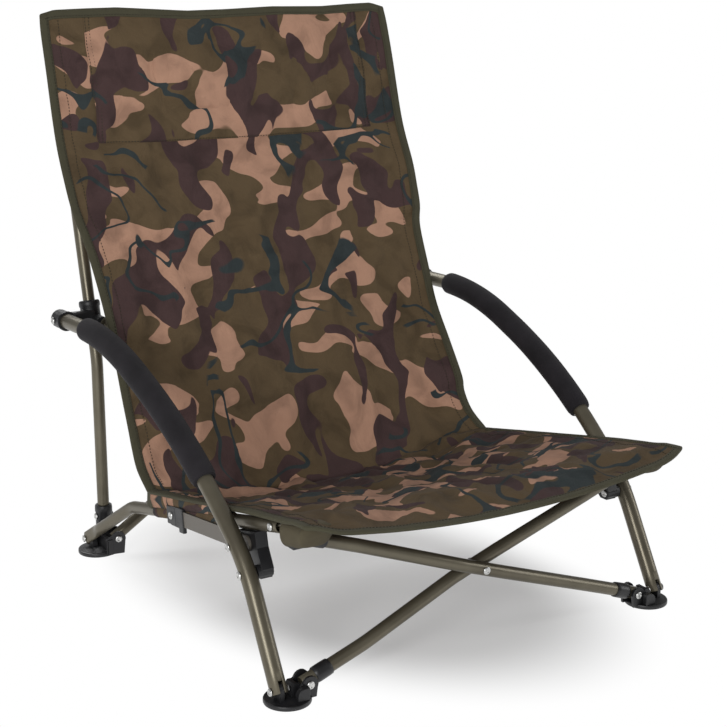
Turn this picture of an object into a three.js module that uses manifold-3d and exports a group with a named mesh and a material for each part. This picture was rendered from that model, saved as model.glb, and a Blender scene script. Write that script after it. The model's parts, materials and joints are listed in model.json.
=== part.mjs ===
// Low folding fishing chair, in millimetres, +Z up.
// The chair faces -Y, and the plane x = 0 is its middle. Sizes below count y from the middle of the
// front feet; at the end the whole chair moves so that its origin is on the floor under its middle.
// Left and right are as seen from the front. A left piece mirrors its right piece unless a comment
// says so.
import * as THREE from 'three';
import { mergeVertices } from 'three/addons/utils/BufferGeometryUtils.js';
import Module from 'manifold-3d';

// Tubes and general clearances
const armRadius = 10;
const tubeRadius = 8;
const gap = 0.3;
const runGap = 0.5;
const leanGap = 2.1;
const overrun = 4;
const headSink = 1;
const tubeSides = 12;
const eyeSides = 16;
const discSides = 26;
const pinSides = 8;
const turnPerRing = 6.5;

// Places of the pivots, seen from the side (y forward is negative, z up)
const legPivotY = -2.1;
const legPivotZ = 16.5;
const armPivotY = 557;
const armPivotZ = 326;
const sideRearY = 547;
const sideRearZ = 17;
const sideFrontY = 39;
const sideFrontZ = 190;
const crossLowZ = 18;
const crossHighZ = 185;
const crossHighY = 10;
const rearCrossLowZ = 24;
const rearCrossHighZ = 320;
const rearCrossLean = 22;

// Distances of the side planes from the middle plane
const footX = 260;
const legX = 272;
const armKneeX = 278;
const armTopX = 283.5;
const armEndX = 287;
const sideX = 249;
const sideRearX = 272;
const uprightX = 243;
const frontCrossX = 237.12;
const rearCrossX = 240;

// Feet
const footRadius = 27;
const footRim = 5.5;
const footDome = 7.5;
const footBevel = 1.5;
const footDomeShare = 0.45;
const rearFootY = 534;
const lugRadius = 9;
const lugThick = 7;
const forkThick = 3.5;
const forkRadius = 10;
const tubeBeyondPivot = 5;
const hubDepth = 17;
const hubHeight = 22;
const tongueThick = 5;
const legTail = 4;
const sideEndThick = 5;
const sideLugGap = 2.6;

// Rivets and bolts
const pinRadius = 2.5;
const headRadius = 4.6;
const headThick = 1.8;
const headTopShare = 0.6;

// Uprights, fixed in the rear feet
const uprightY = 551;
const uprightFoot = 36;
const uprightBendZ = 265;
const uprightBendRadius = 120;
const reclineRise = 360;
const reclineRun = 86;
const uprightTopRise = 77;
const uprightTopRun = 4;
const topBendRadius = 90;
const socketRadius = 11;
const socketTop = 60;
const socketPinZ = 44;

// Arms
const armTopY = 412;
const armTopZ = 330;
const armKneeY = 207.7;
const armKneeZ = 254;
const armShinY = 69;
const armShinZ = 141.5;
const armTopBend = 400;
const armKneeBend = 700;
const armShinBend = 200;
const foamRadius = 15.5;
const foamRearY = 478;
const foamFrontY = 158;
const capRadius = 12.5;
const capLength = 26;
const capWall = 3;
const armTail = 9;

// Side tubes
const sideBendY = 434;
const sideBendZ = 92.5;
const sideBendRadius = 60;
const sideTip = 12;
const sideFlatLength = 48;

// Front and rear crosses: how far the two tubes of a cross are apart where they pass
const crossSpread = 17.2;
const frontSpreadNear = 48;
const frontSpreadFar = 116;
const spreadBend = 70;
const rearCrossY = 517;

// Sliders
const sliderRadius = 13;
const sliderLength = 34;
const sliderWall = 4.6;
const sliderBoss = 9;
const sliderZ = 328;

// Link bars and leg brackets
const linkY = 287;
const linkZ = 128;
const boltHighY = 91;
const boltHighZ = 154.5;
const boltLowY = 66;
const boltLowZ = 129;
const linkThick = 3;
const linkHalf = 9.5;
const linkPlaneGap = 1;
const linkEndLength = 34;
const linkEndHalf = 13;
const linkEndThick = 4;
const bracketThick = 15;
const bracketBoss = 8;
const bracketReach = 30;

// Fabric
const clothThick = 2.4;
const seatHalf = 262.5;
const seatFrontY = -60;
const seatRearY = 350;
const seatRearSag = 28;
const seatSag = 18;
const seatFrontSag = 9;
const frontDrop = 16;
const backSag = 20;
const pocketRadius = 10.6;
const pocketDepth = 56;
const headrestThick = 6;
const cornerPocketWidth = 46.5;
const cornerPocketDepth = 24;
const cornerPocketRearY = -5;

// The side edges of the cloth, seen from the side: places along the seat and the back with the
// height, and for the back also the distance from the middle
const seatEdgeDepths = [seatRearY, 189, 66, -20, seatFrontY];
const seatEdgeHeights = [140, 173, 198, 213, 214];
const backEdgeHeights = [142.4, 160, 185, 205, 250, 305, 354, 410, 440, 470, 500, 559, 645, 700, 727];
const backEdgeDepths = [352.2, 384, 401.5, 408, 434.5, 467, 489.5, 518, 528, 544, 558, 587, 611.5, 627.7, 634.7];
const backEdgeHalves = [seatHalf, 261, 259.5, 260, 257.5, 254, 255, 258.5, 264.5, 269, 271, 271, 270, 269, 267];
// Folds and dents of the cloth: place across, place along, width across, width along, depth
const seatFoldShares = [
  [0.18, 0.55, 0.10, 0.35, 0.22],
  [0.47, 0.30, 0.16, 0.20, -0.25],
  [0.80, 0.62, 0.12, 0.30, 0.20],
  [0.36, 0.86, 0.14, 0.12, -0.22],
  [0.66, 0.90, 0.12, 0.12, 0.22],
];
const backFoldShares = [
  [0.10, 0.30, 0.06, 0.22, 0.20],
  [0.30, 0.12, 0.20, 0.07, -0.25],
  [0.55, 0.20, 0.18, 0.08, 0.22],
  [0.86, 0.42, 0.08, 0.25, 0.22],
  [0.74, 0.10, 0.14, 0.07, -0.20],
  [0.42, 0.56, 0.26, 0.10, -0.12],
];

// Colours, from the picture
const tubeLook = { color: 0x6a675b, roughness: 0.34, metalness: 0.75 };
const steelLook = { color: 0xc9c9c6, roughness: 0.3, metalness: 0.9 };
const plasticLook = { color: 0x1c1c1e, roughness: 0.5, metalness: 0 };
const foamLook = { color: 0x2a2a2c, roughness: 0.92, metalness: 0 };
const barLook = { color: 0x6c675f, roughness: 0.4, metalness: 0.6 };
const clothLook = { color: 0x5f5037, roughness: 0.88, metalness: 0 };
const trimLook = { color: 0x49422f, roughness: 0.9, metalness: 0 };

const wasm = await Module();
wasm.setup();
const chair = new THREE.Group();
chair.name = 'low_folding_chair';
const V = (x, y, z) => new THREE.Vector3(x, y, z);
const weldShare = 1e-4;

function toSolid(geometry) {
  const bare = geometry.clone();
  bare.deleteAttribute('normal');
  bare.deleteAttribute('uv');
  const merged = mergeVertices(bare, weldShare);
  return new wasm.Manifold(new wasm.Mesh({
    numProp: 3,
    vertProperties: Float32Array.from(merged.attributes.position.array),
    triVerts: Uint32Array.from(merged.index.array),
  }));
}

function toGeometry(solid) {
  const result = solid.getMesh();
  const geometry = new THREE.BufferGeometry();
  geometry.setAttribute('position', new THREE.BufferAttribute(result.vertProperties, 3));
  geometry.setIndex(new THREE.BufferAttribute(result.triVerts, 1));
  geometry.computeVertexNormals();
  return geometry;
}

// A mirrored copy for the left side, with its faces turned to point out again
function mirrored(geometry) {
  const bare = geometry.clone();
  bare.deleteAttribute('normal');
  bare.deleteAttribute('uv');
  const copy = mergeVertices(bare, weldShare);
  copy.scale(-1, 1, 1);
  const order = Array.from(copy.index.array);
  for (let i = 0; i < order.length; i += 3) {
    [order[i], order[i + 1]] = [order[i + 1], order[i]];
  }
  copy.setIndex(order);
  copy.computeVertexNormals();
  return copy;
}

function put(name, shape, look) {
  const geometry = shape.isBufferGeometry ? shape : toGeometry(shape);
  const mesh = new THREE.Mesh(geometry, new THREE.MeshStandardMaterial(look));
  mesh.name = name;
  chair.add(mesh);
}

function putPair(name, shape, look) {
  const geometry = shape.isBufferGeometry ? shape : toGeometry(shape);
  put(`${name}_right`, geometry, look);
  put(`${name}_left`, mirrored(geometry), look);
}

function polygon(radius, sides) {
  const points = [];
  for (let i = 0; i < sides; i += 1) {
    const turn = (i / sides) * Math.PI * 2;
    points.push(new THREE.Vector2(radius * Math.cos(turn), radius * Math.sin(turn)));
  }
  return points;
}

// A path of straight runs joined by bends of the given radii
function bentPath(points, radii) {
  const path = new THREE.CurvePath();
  let start = points[0];
  for (let i = 1; i < points.length - 1; i += 1) {
    const before = points[i].clone().sub(points[i - 1]).normalize();
    const after = points[i + 1].clone().sub(points[i]).normalize();
    const half = before.angleTo(after) / 2;
    const reach = radii[i - 1] * Math.tan(half);
    const enter = points[i].clone().addScaledVector(before, -reach);
    const leave = points[i].clone().addScaledVector(after, reach);
    path.add(new THREE.LineCurve3(start, enter));
    path.add(new THREE.QuadraticBezierCurve3(enter, points[i], leave));
    start = leave;
  }
  path.add(new THREE.LineCurve3(start, points[points.length - 1]));
  return path;
}

// The same path with its stations only at its ends, in its bends and at the lengths asked for
class StationPath extends THREE.Curve {
  constructor(path, shares) {
    super();
    this.path = path;
    this.shares = shares;
  }

  shareOf(u) {
    return this.shares[Math.round(u * (this.shares.length - 1))];
  }

  getPointAt(u, target) {
    return this.path.getPointAt(this.shareOf(u), target);
  }

  getTangentAt(u, target) {
    return this.path.getTangentAt(this.shareOf(u), target);
  }
}

function stations(path, from = 0, to = 1, extra = []) {
  const lengths = path.getCurveLengths();
  const total = lengths[lengths.length - 1];
  const shares = [from, to, ...extra.map((length) => length / total)];
  path.curves.forEach((curve, i) => {
    if (!curve.isQuadraticBezierCurve3) return;
    const turn = THREE.MathUtils.radToDeg(curve.getTangent(0).angleTo(curve.getTangent(1)));
    const count = Math.max(2, Math.ceil(turn / turnPerRing));
    for (let k = 0; k <= count; k += 1) {
      shares.push((lengths[i - 1] + ((lengths[i] - lengths[i - 1]) * k) / count) / total);
    }
  });
  const kept = shares.filter((share) => share >= from && share <= to).sort((a, b) => a - b);
  return kept.filter((share, i) => i === 0 || (share - kept[i - 1]) * total > runGap);
}

function rod(path, radius, shares, holeRadius = 0) {
  const shape = new THREE.Shape(polygon(radius, tubeSides));
  if (holeRadius > 0) {
    shape.holes.push(new THREE.Path(polygon(holeRadius / Math.cos(Math.PI / tubeSides), tubeSides)));
  }
  const extrudePath = new StationPath(path, shares);
  return new THREE.ExtrudeGeometry(shape, { steps: shares.length - 1, bevelEnabled: false, extrudePath });
}

function cylinder(from, to, radius, sides = eyeSides) {
  const along = to.clone().sub(from);
  const geometry = new THREE.CylinderGeometry(radius, radius, along.length(), sides);
  const turn = new THREE.Quaternion().setFromUnitVectors(V(0, 1, 0), along.clone().normalize());
  geometry.applyQuaternion(turn);
  const middle = from.clone().add(to).multiplyScalar(1 / 2);
  geometry.translate(middle.x, middle.y, middle.z);
  return geometry;
}

function block(x0, x1, y0, y1, z0, z1) {
  const geometry = new THREE.BoxGeometry(x1 - x0, y1 - y0, z1 - z0);
  geometry.translate((x0 + x1) / 2, (y0 + y1) / 2, (z0 + z1) / 2);
  return geometry;
}

// An outline in the side view, given as [y, z], made solid from x0 to x1
function sidePlate(outline, x0, x1) {
  const shape = new THREE.Shape(outline.map(([y, z]) => new THREE.Vector2(y, z)));
  const geometry = new THREE.ExtrudeGeometry(shape, { depth: x1 - x0, bevelEnabled: false });
  const basis = new THREE.Matrix4().makeBasis(V(0, 1, 0), V(0, 0, 1), V(1, 0, 0));
  geometry.applyMatrix4(basis);
  geometry.translate(x0, 0, 0);
  return geometry;
}

// An outline in the front view, given as [x, z], made solid from y0 to y1
function frontPlate(outline, y0, y1) {
  const shape = new THREE.Shape(outline.map(([x, z]) => new THREE.Vector2(x, z)));
  const geometry = new THREE.ExtrudeGeometry(shape, { depth: y1 - y0, bevelEnabled: false });
  const basis = new THREE.Matrix4().makeBasis(V(1, 0, 0), V(0, 0, 1), V(0, -1, 0));
  geometry.applyMatrix4(basis);
  geometry.translate(0, y1, 0);
  return geometry;
}

function join(...pieces) {
  return pieces.map((piece) => (piece.isBufferGeometry ? toSolid(piece) : piece)).reduce((a, b) => a.add(b));
}

function cut(piece, ...tools) {
  const solid = piece.isBufferGeometry ? toSolid(piece) : piece;
  return tools.reduce((left, tool) => left.subtract(toSolid(tool)), solid);
}

const alongX = V(1, 0, 0);
const alongY = V(0, 1, 0);

function bore(centre, axis, reach, radius = pinRadius + gap) {
  const from = centre.clone().addScaledVector(axis, -reach);
  const to = centre.clone().addScaledVector(axis, reach);
  return cylinder(from, to, radius / Math.cos(Math.PI / pinSides), pinSides);
}

// A rivet with a head at each end: a revolved profile, from face a to face b along an axis
function rivet(centre, axis, a, b) {
  const low = a - gap;
  const high = b + gap;
  const profile = [
    [0, low - headThick], [headRadius * headTopShare, low - headThick], [headRadius, low], [pinRadius, low],
    [pinRadius, high], [headRadius, high], [headRadius * headTopShare, high + headThick], [0, high + headThick],
  ].map(([r, h]) => new THREE.Vector2(r, h));
  const geometry = new THREE.LatheGeometry(profile, pinSides);
  geometry.applyQuaternion(new THREE.Quaternion().setFromUnitVectors(V(0, 1, 0), axis));
  geometry.translate(centre.x, centre.y, centre.z);
  return geometry;
}

// A bolt with a head at its far end only, from a to b along an axis
function bolt(centre, axis, a, b) {
  const seat = b + gap;
  const profile = [
    [0, a], [pinRadius, a], [pinRadius, seat], [headRadius, seat], [headRadius * headTopShare, seat + headThick],
    [0, seat + headThick],
  ].map(([r, h]) => new THREE.Vector2(r, h));
  const geometry = new THREE.LatheGeometry(profile, pinSides);
  geometry.applyQuaternion(new THREE.Quaternion().setFromUnitVectors(V(0, 1, 0), axis));
  geometry.translate(centre.x, centre.y, centre.z);
  return geometry;
}

// Room for a rivet's head that lies inside a moulding, from face a outwards along an axis
function headRoom(centre, axis, a) {
  const from = centre.clone().addScaledVector(axis, a);
  const to = from.clone().addScaledVector(axis, -headThick - gap * 2 - headRoomDepth);
  return cylinder(from, to, headRadius + runGap, eyeSides);
}
const headRoomDepth = 2;

// Presses a tube's end flat across x, to a given thickness, over a length from the pivot
function flattenX(geometry, pivot, length, thick, radius, centreX) {
  const place = geometry.attributes.position;
  for (let i = 0; i < place.count; i += 1) {
    const distance = Math.hypot(place.getY(i) - pivot.y, place.getZ(i) - pivot.z);
    const share = THREE.MathUtils.smoothstep(1 - distance / length, 0, 1 / 2);
    const squeeze = 1 - share * (1 - thick / (2 * radius));
    place.setX(i, centreX(place.getY(i)) + (place.getX(i) - centreX(place.getY(i))) * squeeze);
  }
  return geometry;
}

// Foot discs
function footDisc(x, y) {
  const domeRadius = footRadius * footDomeShare;
  const profile = [
    [0, 0], [footRadius - footBevel, 0], [footRadius, footBevel], [footRadius, footRim - footBevel / 2],
    [footRadius - footBevel, footRim], [domeRadius, footDome], [0, footDome],
  ].map(([r, h]) => new THREE.Vector2(r, h));
  const geometry = new THREE.LatheGeometry(profile, discSides);
  geometry.rotateX(Math.PI / 2);
  geometry.translate(x, y, 0);
  return geometry;
}

// Two fork plates on either side of a tube's end, with an arch at the pivot
function fork(x, y, z, baseX, baseZ, axis, inner) {
  const outer = inner + forkThick;
  const plates = [[-outer, -inner], [inner, outer]].map(([near, far]) => {
    const eye = cylinder(V(x, y, z).addScaledVector(axis, near), V(x, y, z).addScaledVector(axis, far), forkRadius);
    const stem = frontPlate([
      [x - forkRadius * forkFootShare, baseZ], [baseX, baseZ], [baseX, z], [x, z + forkRadius * forkTopShare],
      [x - forkRadius * forkTopShare, z],
    ], near, far);
    const turn = Math.atan2(axis.x, axis.y);
    stem.translate(-x, 0, 0);
    stem.rotateZ(-turn);
    stem.translate(x, y, 0);
    return join(eye, stem);
  });
  return plates[0].add(plates[1]);
}
const forkFootShare = 0.75;
const forkTopShare = 0.97;

// Front feet: a disc, a hub, a tongue that stands in the leg's slotted end and a fork for the front
// cross
const legPivot = V(legX, legPivotY, legPivotZ);
const hubFar = legX - armRadius - headThick - gap * 3;
const frontLow = V(frontCrossX, 0, crossLowZ);
const hubNear = frontCrossX + forkRadius + runGap;
const frontHub = frontPlate([
  [hubNear, footRim / 2], [hubFar, footRim / 2], [hubFar, legPivotZ],
  [hubFar - lugThick / 2, hubHeight], [hubNear + lugThick / 2, hubHeight], [hubNear, crossLowZ],
], -hubDepth / 2, hubDepth / 2);
const tongueNear = legX - tongueThick / 2;
const tongueFar = legX + tongueThick / 2;
const tongue = join(
  cylinder(V(tongueNear, legPivotY, legPivotZ), V(tongueFar, legPivotY, legPivotZ), lugRadius),
  sidePlate([
    [legPivotY - lugRadius, footRim / 2], [legPivotY + lugRadius, footRim / 2],
    [legPivotY + lugRadius, legPivotZ], [legPivotY - lugRadius, legPivotZ],
  ], tongueNear, tongueFar),
);
const frontFork = fork(frontCrossX, 0, crossLowZ, hubNear + lugThick / 2, footRim / 2, alongY, tubeRadius + runGap);
const frontFoot = cut(
  join(footDisc(footX, 0), frontHub, tongue, frontFork),
  bore(legPivot, alongX, armRadius + overrun),
  bore(frontLow, alongY, tubeRadius + forkThick + overrun),
);
putPair('foot_front', frontFoot, plasticLook);

// Rear feet: a disc, a lug for the side tube, a socket for the upright and a fork for the rear cross.
// The right fork sits one tube further forward than the left one.
const rearAxisTurn = THREE.MathUtils.degToRad(8.376);
const rearPivot = V(sideRearX, sideRearY, sideRearZ);
const sideLugFar = sideRearX - sideEndThick / 2 - sideLugGap;
const sideLugNear = sideLugFar - lugThick;
function rearFoot(crossY) {
  const socketBase = uprightFoot - gap;
  const lug = join(
    cylinder(V(sideLugNear, sideRearY, sideRearZ), V(sideLugFar, sideRearY, sideRearZ), lugRadius),
    sidePlate([
      [rearFootY, footRim / 2], [sideRearY + lugRadius, footRim / 2], [sideRearY + lugRadius, sideRearZ],
      [sideRearY - lugRadius, sideRearZ],
    ], sideLugNear, sideLugFar),
  );
  const neck = block(uprightX - lugRadius, sideLugNear + lugThick / 2, uprightY - lugRadius, uprightY + lugRadius / 2,
    footRim / 2, sideRearZ + lugRadius / 2);
  const socket = cylinder(V(uprightX, uprightY, footRim / 2), V(uprightX, uprightY, socketTop), socketRadius);
  const forkBaseX = rearCrossX + forkRadius + lugThick;
  const plates = fork(rearCrossX, crossY, rearCrossLowZ, forkBaseX, footRim / 2, rearAxis, tubeRadius + leanGap);
  const spread = tubeRadius + leanGap + forkThick;
  const bridge = block(rearCrossX + forkRadius + runGap, forkBaseX, crossY - spread, uprightY, footRim / 2,
    rearCrossLowZ);
  return cut(
    join(footDisc(footX, rearFootY), lug, neck, socket, plates, bridge),
    cylinder(V(uprightX, uprightY, socketBase), V(uprightX, uprightY, socketTop + overrun), tubeRadius + gap),
    bore(rearPivot, alongX, lugThick + armRadius + overrun),
    headRoom(rearPivot, alongX, sideLugNear - sideRearX),
    bore(V(rearCrossX, crossY, rearCrossLowZ), rearAxis, spread + overrun),
    bore(V(uprightX, uprightY, socketPinZ), alongX, socketRadius + overrun),
  );
}
const rearAxis = V(-Math.sin(rearAxisTurn), Math.cos(rearAxisTurn), 0);
const rearCrossYRight = rearCrossY - crossSpread;
put('foot_rear_left', mirrored(toGeometry(rearFoot(rearCrossY))), plasticLook);
put('foot_rear_right', rearFoot(rearCrossYRight), plasticLook);

// Uprights
const reclineY = uprightY + reclineRun;
const reclineZ = uprightBendZ + reclineRise;
const uprightPath = bentPath([
  V(uprightX, uprightY, uprightFoot), V(uprightX, uprightY, uprightBendZ), V(uprightX, reclineY, reclineZ),
  V(uprightX, reclineY + uprightTopRun, reclineZ + uprightTopRise),
], [uprightBendRadius, topBendRadius]);
const upright = cut(
  rod(uprightPath, tubeRadius, stations(uprightPath)),
  bore(V(uprightX, uprightY, socketPinZ), alongX, tubeRadius + overrun),
);
putPair('upright', upright, tubeLook);
putPair('upright_rivet', rivet(V(uprightX, uprightY, socketPinZ), alongX, -socketRadius, socketRadius), steelLook);

// Arm tubes, which are also the front legs
const armEnd = V(armEndX, armPivotY + armTail, armPivotZ);
const armTop = V(armTopX, armTopY, armTopZ);
const armKnee = V(armKneeX, armKneeY, armKneeZ);
const armShin = V(legX, armShinY, armShinZ);
const legDown = legPivot.clone().sub(armShin).normalize();
const legEnd = legPivot.clone().addScaledVector(legDown, legTail);
const armPath = bentPath([armEnd, armTop, armKnee, armShin, legEnd], [armTopBend, armKneeBend, armShinBend]);
function shareAtY(path, y) {
  let low = 0;
  let high = 1;
  for (let i = 0; i < 40; i += 1) {
    const middle = (low + high) / 2;
    if (path.getPointAt(middle).y > y) low = middle;
    else high = middle;
  }
  return low;
}
const armPointAt = (y) => armPath.getPointAt(shareAtY(armPath, y));
const armPivot = V(armPointAt(armPivotY).x, armPivotY, armPivotZ);
const foamEnds = [foamRearY, foamFrontY].map((y) => shareAtY(armPath, y) * armPath.getLength());
const highBolt = V(armPointAt(boltHighY).x, boltHighY, boltHighZ);
const lowBolt = V(armPointAt(boltLowY).x, boltLowY, boltLowZ);
// The slot at the leg's end runs from the end to just past the tongue's round top
const slotSide = V(0, -legDown.z, legDown.y).multiplyScalar(armRadius + overrun);
const slotTop = legPivot.clone().addScaledVector(legDown, -lugRadius - gap * 2);
const slotBottom = legEnd.clone().addScaledVector(legDown, overrun);
const legSlot = sidePlate([
  slotTop.clone().add(slotSide), slotTop.clone().sub(slotSide), slotBottom.clone().sub(slotSide),
  slotBottom.clone().add(slotSide),
].map((point) => [point.y, point.z]), tongueNear - gap, tongueFar + gap);
const armTube = cut(
  rod(armPath, armRadius, stations(armPath, 0, 1, foamEnds)),
  legSlot,
  bore(legPivot, alongX, armRadius + overrun),
  bore(armPivot, alongX, armRadius + overrun),
  bore(highBolt, alongX, armRadius + overrun),
  bore(lowBolt, alongX, armRadius + overrun),
);
putPair('arm_tube', armTube, tubeLook);
putPair('leg_rivet', rivet(legPivot, alongX, -armRadius, armRadius), steelLook);

// Foam grips on the arms, cut from the same path
const foamShares = stations(armPath, shareAtY(armPath, foamRearY), shareAtY(armPath, foamFrontY));
putPair('arm_grip', rod(armPath, foamRadius, foamShares, armRadius + gap), foamLook);

// Rear end caps of the arms: a closed cup over the tube's end, with a bolt head outside
const tailDirection = armPath.getTangentAt(0).negate();
const capOuter = armEnd.clone().addScaledVector(tailDirection, capWall + gap);
const capRound = 3;
const capProfile = [
  [0, 0], [capRadius - capRound, 0], [capRadius, -capRound], [capRadius, -capLength],
  [armRadius + gap, -capLength], [armRadius + gap, -capWall], [0, -capWall],
].map(([r, h]) => new THREE.Vector2(r, h)).reverse();
const capBody = new THREE.LatheGeometry(capProfile, eyeSides);
capBody.applyQuaternion(new THREE.Quaternion().setFromUnitVectors(V(0, 1, 0), tailDirection));
capBody.translate(capOuter.x, capOuter.y, capOuter.z);
putPair('arm_cap', cut(capBody, bore(armPivot, alongX, capRadius + overrun)), plasticLook);
putPair('arm_bolt', bolt(armPivot, alongX, headSink - capRadius, capRadius + gap), steelLook);

// Side tubes: pressed flat at the rear foot, straight under the seat
const sideSlopeY = sideBendY - sideFrontY;
const sideSlopeZ = sideFrontZ - sideBendZ;
const sideSlopeLength = Math.hypot(sideSlopeY, sideSlopeZ);
const sideRise = sideSlopeZ / sideSlopeY;
const sideTipPoint = V(sideX, sideFrontY - (sideTip * sideSlopeY) / sideSlopeLength,
  sideFrontZ + (sideTip * sideSlopeZ) / sideSlopeLength);
const sidePath = bentPath([rearPivot, V(sideX, sideBendY, sideBendZ), sideTipPoint], [sideBendRadius]);
const flatShares = [0.25, 0.45, 0.7, 1];
const sideFlats = flatShares.map((share) => share * sideFlatLength);
const sideSpreadX = (y) => sideX + (sideRearX - sideX) * THREE.MathUtils.clamp(
  (y - sideBendY) / (sideRearY - sideBendY), 0, 1);
const linkPivot = V(sideX, linkY, linkZ);
const sideTube = cut(
  join(
    flattenX(rod(sidePath, tubeRadius, stations(sidePath, 0, 1, sideFlats)), rearPivot, sideFlatLength, sideEndThick, tubeRadius, sideSpreadX),
    cylinder(V(sideRearX - sideEndThick / 2, sideRearY, sideRearZ),
      V(sideRearX + sideEndThick / 2, sideRearY, sideRearZ), lugRadius - gap),
  ),
  bore(rearPivot, alongX, tubeRadius + overrun),
  bore(V(sideX, sideFrontY, sideFrontZ), alongX, tubeRadius + overrun),
  bore(linkPivot, alongX, tubeRadius + overrun),
);
putPair('side_tube', sideTube, tubeLook);
putPair('side_rear_rivet', rivet(rearPivot, alongX, sideLugNear - sideRearX, sideEndThick / 2), steelLook);

// Front cross: two tubes that pass each other at the middle, tied by a rivet
function crossPath(low, high, shift) {
  const along = high.clone().sub(low);
  const length = along.length();
  const at = (offset, y) => low.clone().addScaledVector(along, 1 / 2 + offset / length).setY(y);
  const beyond = length / 2 + tubeBeyondPivot;
  const passing = (low.y + high.y) / 2 + shift;
  return bentPath([
    at(-beyond, low.y), at(-frontSpreadFar, low.y), at(-frontSpreadNear, passing),
    at(frontSpreadNear, passing), at(frontSpreadFar, high.y), at(beyond, high.y),
  ], [spreadBend, spreadBend, spreadBend, spreadBend]);
}
const frontHigh = V(frontCrossX, crossHighY, crossHighZ);
const flip = (point) => V(-point.x, point.y, point.z);
function frontTube(low, high, shift) {
  const middle = low.clone().add(high).multiplyScalar(1 / 2).add(V(0, shift, 0));
  const reach = tubeRadius + overrun;
  const path = crossPath(low, high, shift);
  return cut(
    rod(path, tubeRadius, stations(path)),
    bore(low, alongY, reach), bore(high, alongY, reach), bore(middle, alongY, reach),
  );
}
put('front_cross_tube_a', frontTube(flip(frontLow), frontHigh, crossSpread / 2), tubeLook);
put('front_cross_tube_b', frontTube(frontLow, flip(frontHigh), -crossSpread / 2), tubeLook);
const frontMiddle = V(0, crossHighY / 2, (crossLowZ + crossHighZ) / 2);
const crossFace = tubeRadius + crossSpread / 2;
put('front_cross_rivet', rivet(frontMiddle, alongY, -crossFace, crossFace), steelLook);
const forkFace = tubeRadius + runGap + forkThick;
putPair('front_low_rivet', rivet(frontLow, alongY, -forkFace, forkFace), steelLook);

// Rear cross: straight tubes that lean back towards the sliders
function rearTube(crossY, side) {
  const low = V(side * rearCrossX, crossY, rearCrossLowZ);
  const high = V(-side * rearCrossX, crossY + rearCrossLean, rearCrossHighZ);
  const direction = high.clone().sub(low).normalize();
  const path = new THREE.LineCurve3(low.clone().addScaledVector(direction, -tubeBeyondPivot),
    high.clone().addScaledVector(direction, tubeBeyondPivot));
  const middle = low.clone().add(high).multiplyScalar(1 / 2);
  const axis = V(side * rearAxis.x, rearAxis.y, 0);
  const reach = tubeRadius + overrun;
  return cut(rod(path, tubeRadius, [0, 1]), bore(low, axis, reach), bore(middle, alongY, reach),
    bore(high, alongY, reach));
}
put('rear_cross_tube_a', rearTube(rearCrossY, -1), tubeLook);
put('rear_cross_tube_b', rearTube(rearCrossYRight, 1), tubeLook);
const rearForkFace = tubeRadius + leanGap + forkThick;
const rearLowRivet = (y) => rivet(V(rearCrossX, y, rearCrossLowZ), rearAxis, -rearForkFace, rearForkFace);
put('rear_low_rivet_left', mirrored(rearLowRivet(rearCrossY)), steelLook);
put('rear_low_rivet_right', rearLowRivet(rearCrossYRight), steelLook);
put('rear_cross_rivet', bolt(V(0, rearCrossYRight + rearCrossLean / 2, (rearCrossLowZ + rearCrossHighZ) / 2),
  alongY.clone().negate(), headSink - tubeRadius, tubeRadius), steelLook);

// Seat corner joints: a fork for the front cross, a web outside it and a cheek behind it along the
// inner face of the side tube
const cheekFar = sideX - tubeRadius - runGap;
const cheekNear = cheekFar - forkThick - headSink;
const forkInner = tubeRadius + runGap;
const forkOuter = forkInner + forkThick;
const webNear = frontCrossX + forkRadius + runGap;
const webFar = webNear + forkThick;
const cornerFork = [-forkOuter, forkInner].map((near) => join(
  cylinder(V(frontCrossX, crossHighY + near, crossHighZ), V(frontCrossX, crossHighY + near + forkThick, crossHighZ),
    forkRadius),
  frontPlate([
    [frontCrossX, crossHighZ - forkRadius], [webFar, crossHighZ - forkRadius], [webFar, crossHighZ + tubeRadius],
    [frontCrossX, crossHighZ + tubeRadius],
  ], crossHighY + near, crossHighY + near + forkThick),
));
const web = block(webNear, webFar, crossHighY - forkOuter, crossHighY + forkOuter, crossHighZ - forkRadius,
  crossHighZ + tubeRadius);
const cheek = sidePlate([
  [crossHighY + forkInner, crossHighZ - forkRadius], [sideFrontY + forkRadius, crossHighZ - forkRadius / 2],
  [sideFrontY + forkRadius, sideFrontZ + headRadius], [crossHighY + forkInner, sideFrontZ + headRadius],
], cheekNear, cheekFar);
const corner = cut(
  join(cornerFork[0], cornerFork[1], web, cheek),
  bore(V(sideX, sideFrontY, sideFrontZ), alongX, tubeRadius + forkRadius + overrun),
  bore(frontHigh, alongY, forkFace + overrun),
);
putPair('corner_joint', corner, plasticLook);
putPair('front_high_rivet', bolt(frontHigh, alongY.clone().negate(), -forkFace, forkFace), steelLook);
putPair('side_front_rivet', rivet(V(sideX, sideFrontY, sideFrontZ), alongX, cheekNear - sideX, tubeRadius), steelLook);

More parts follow.
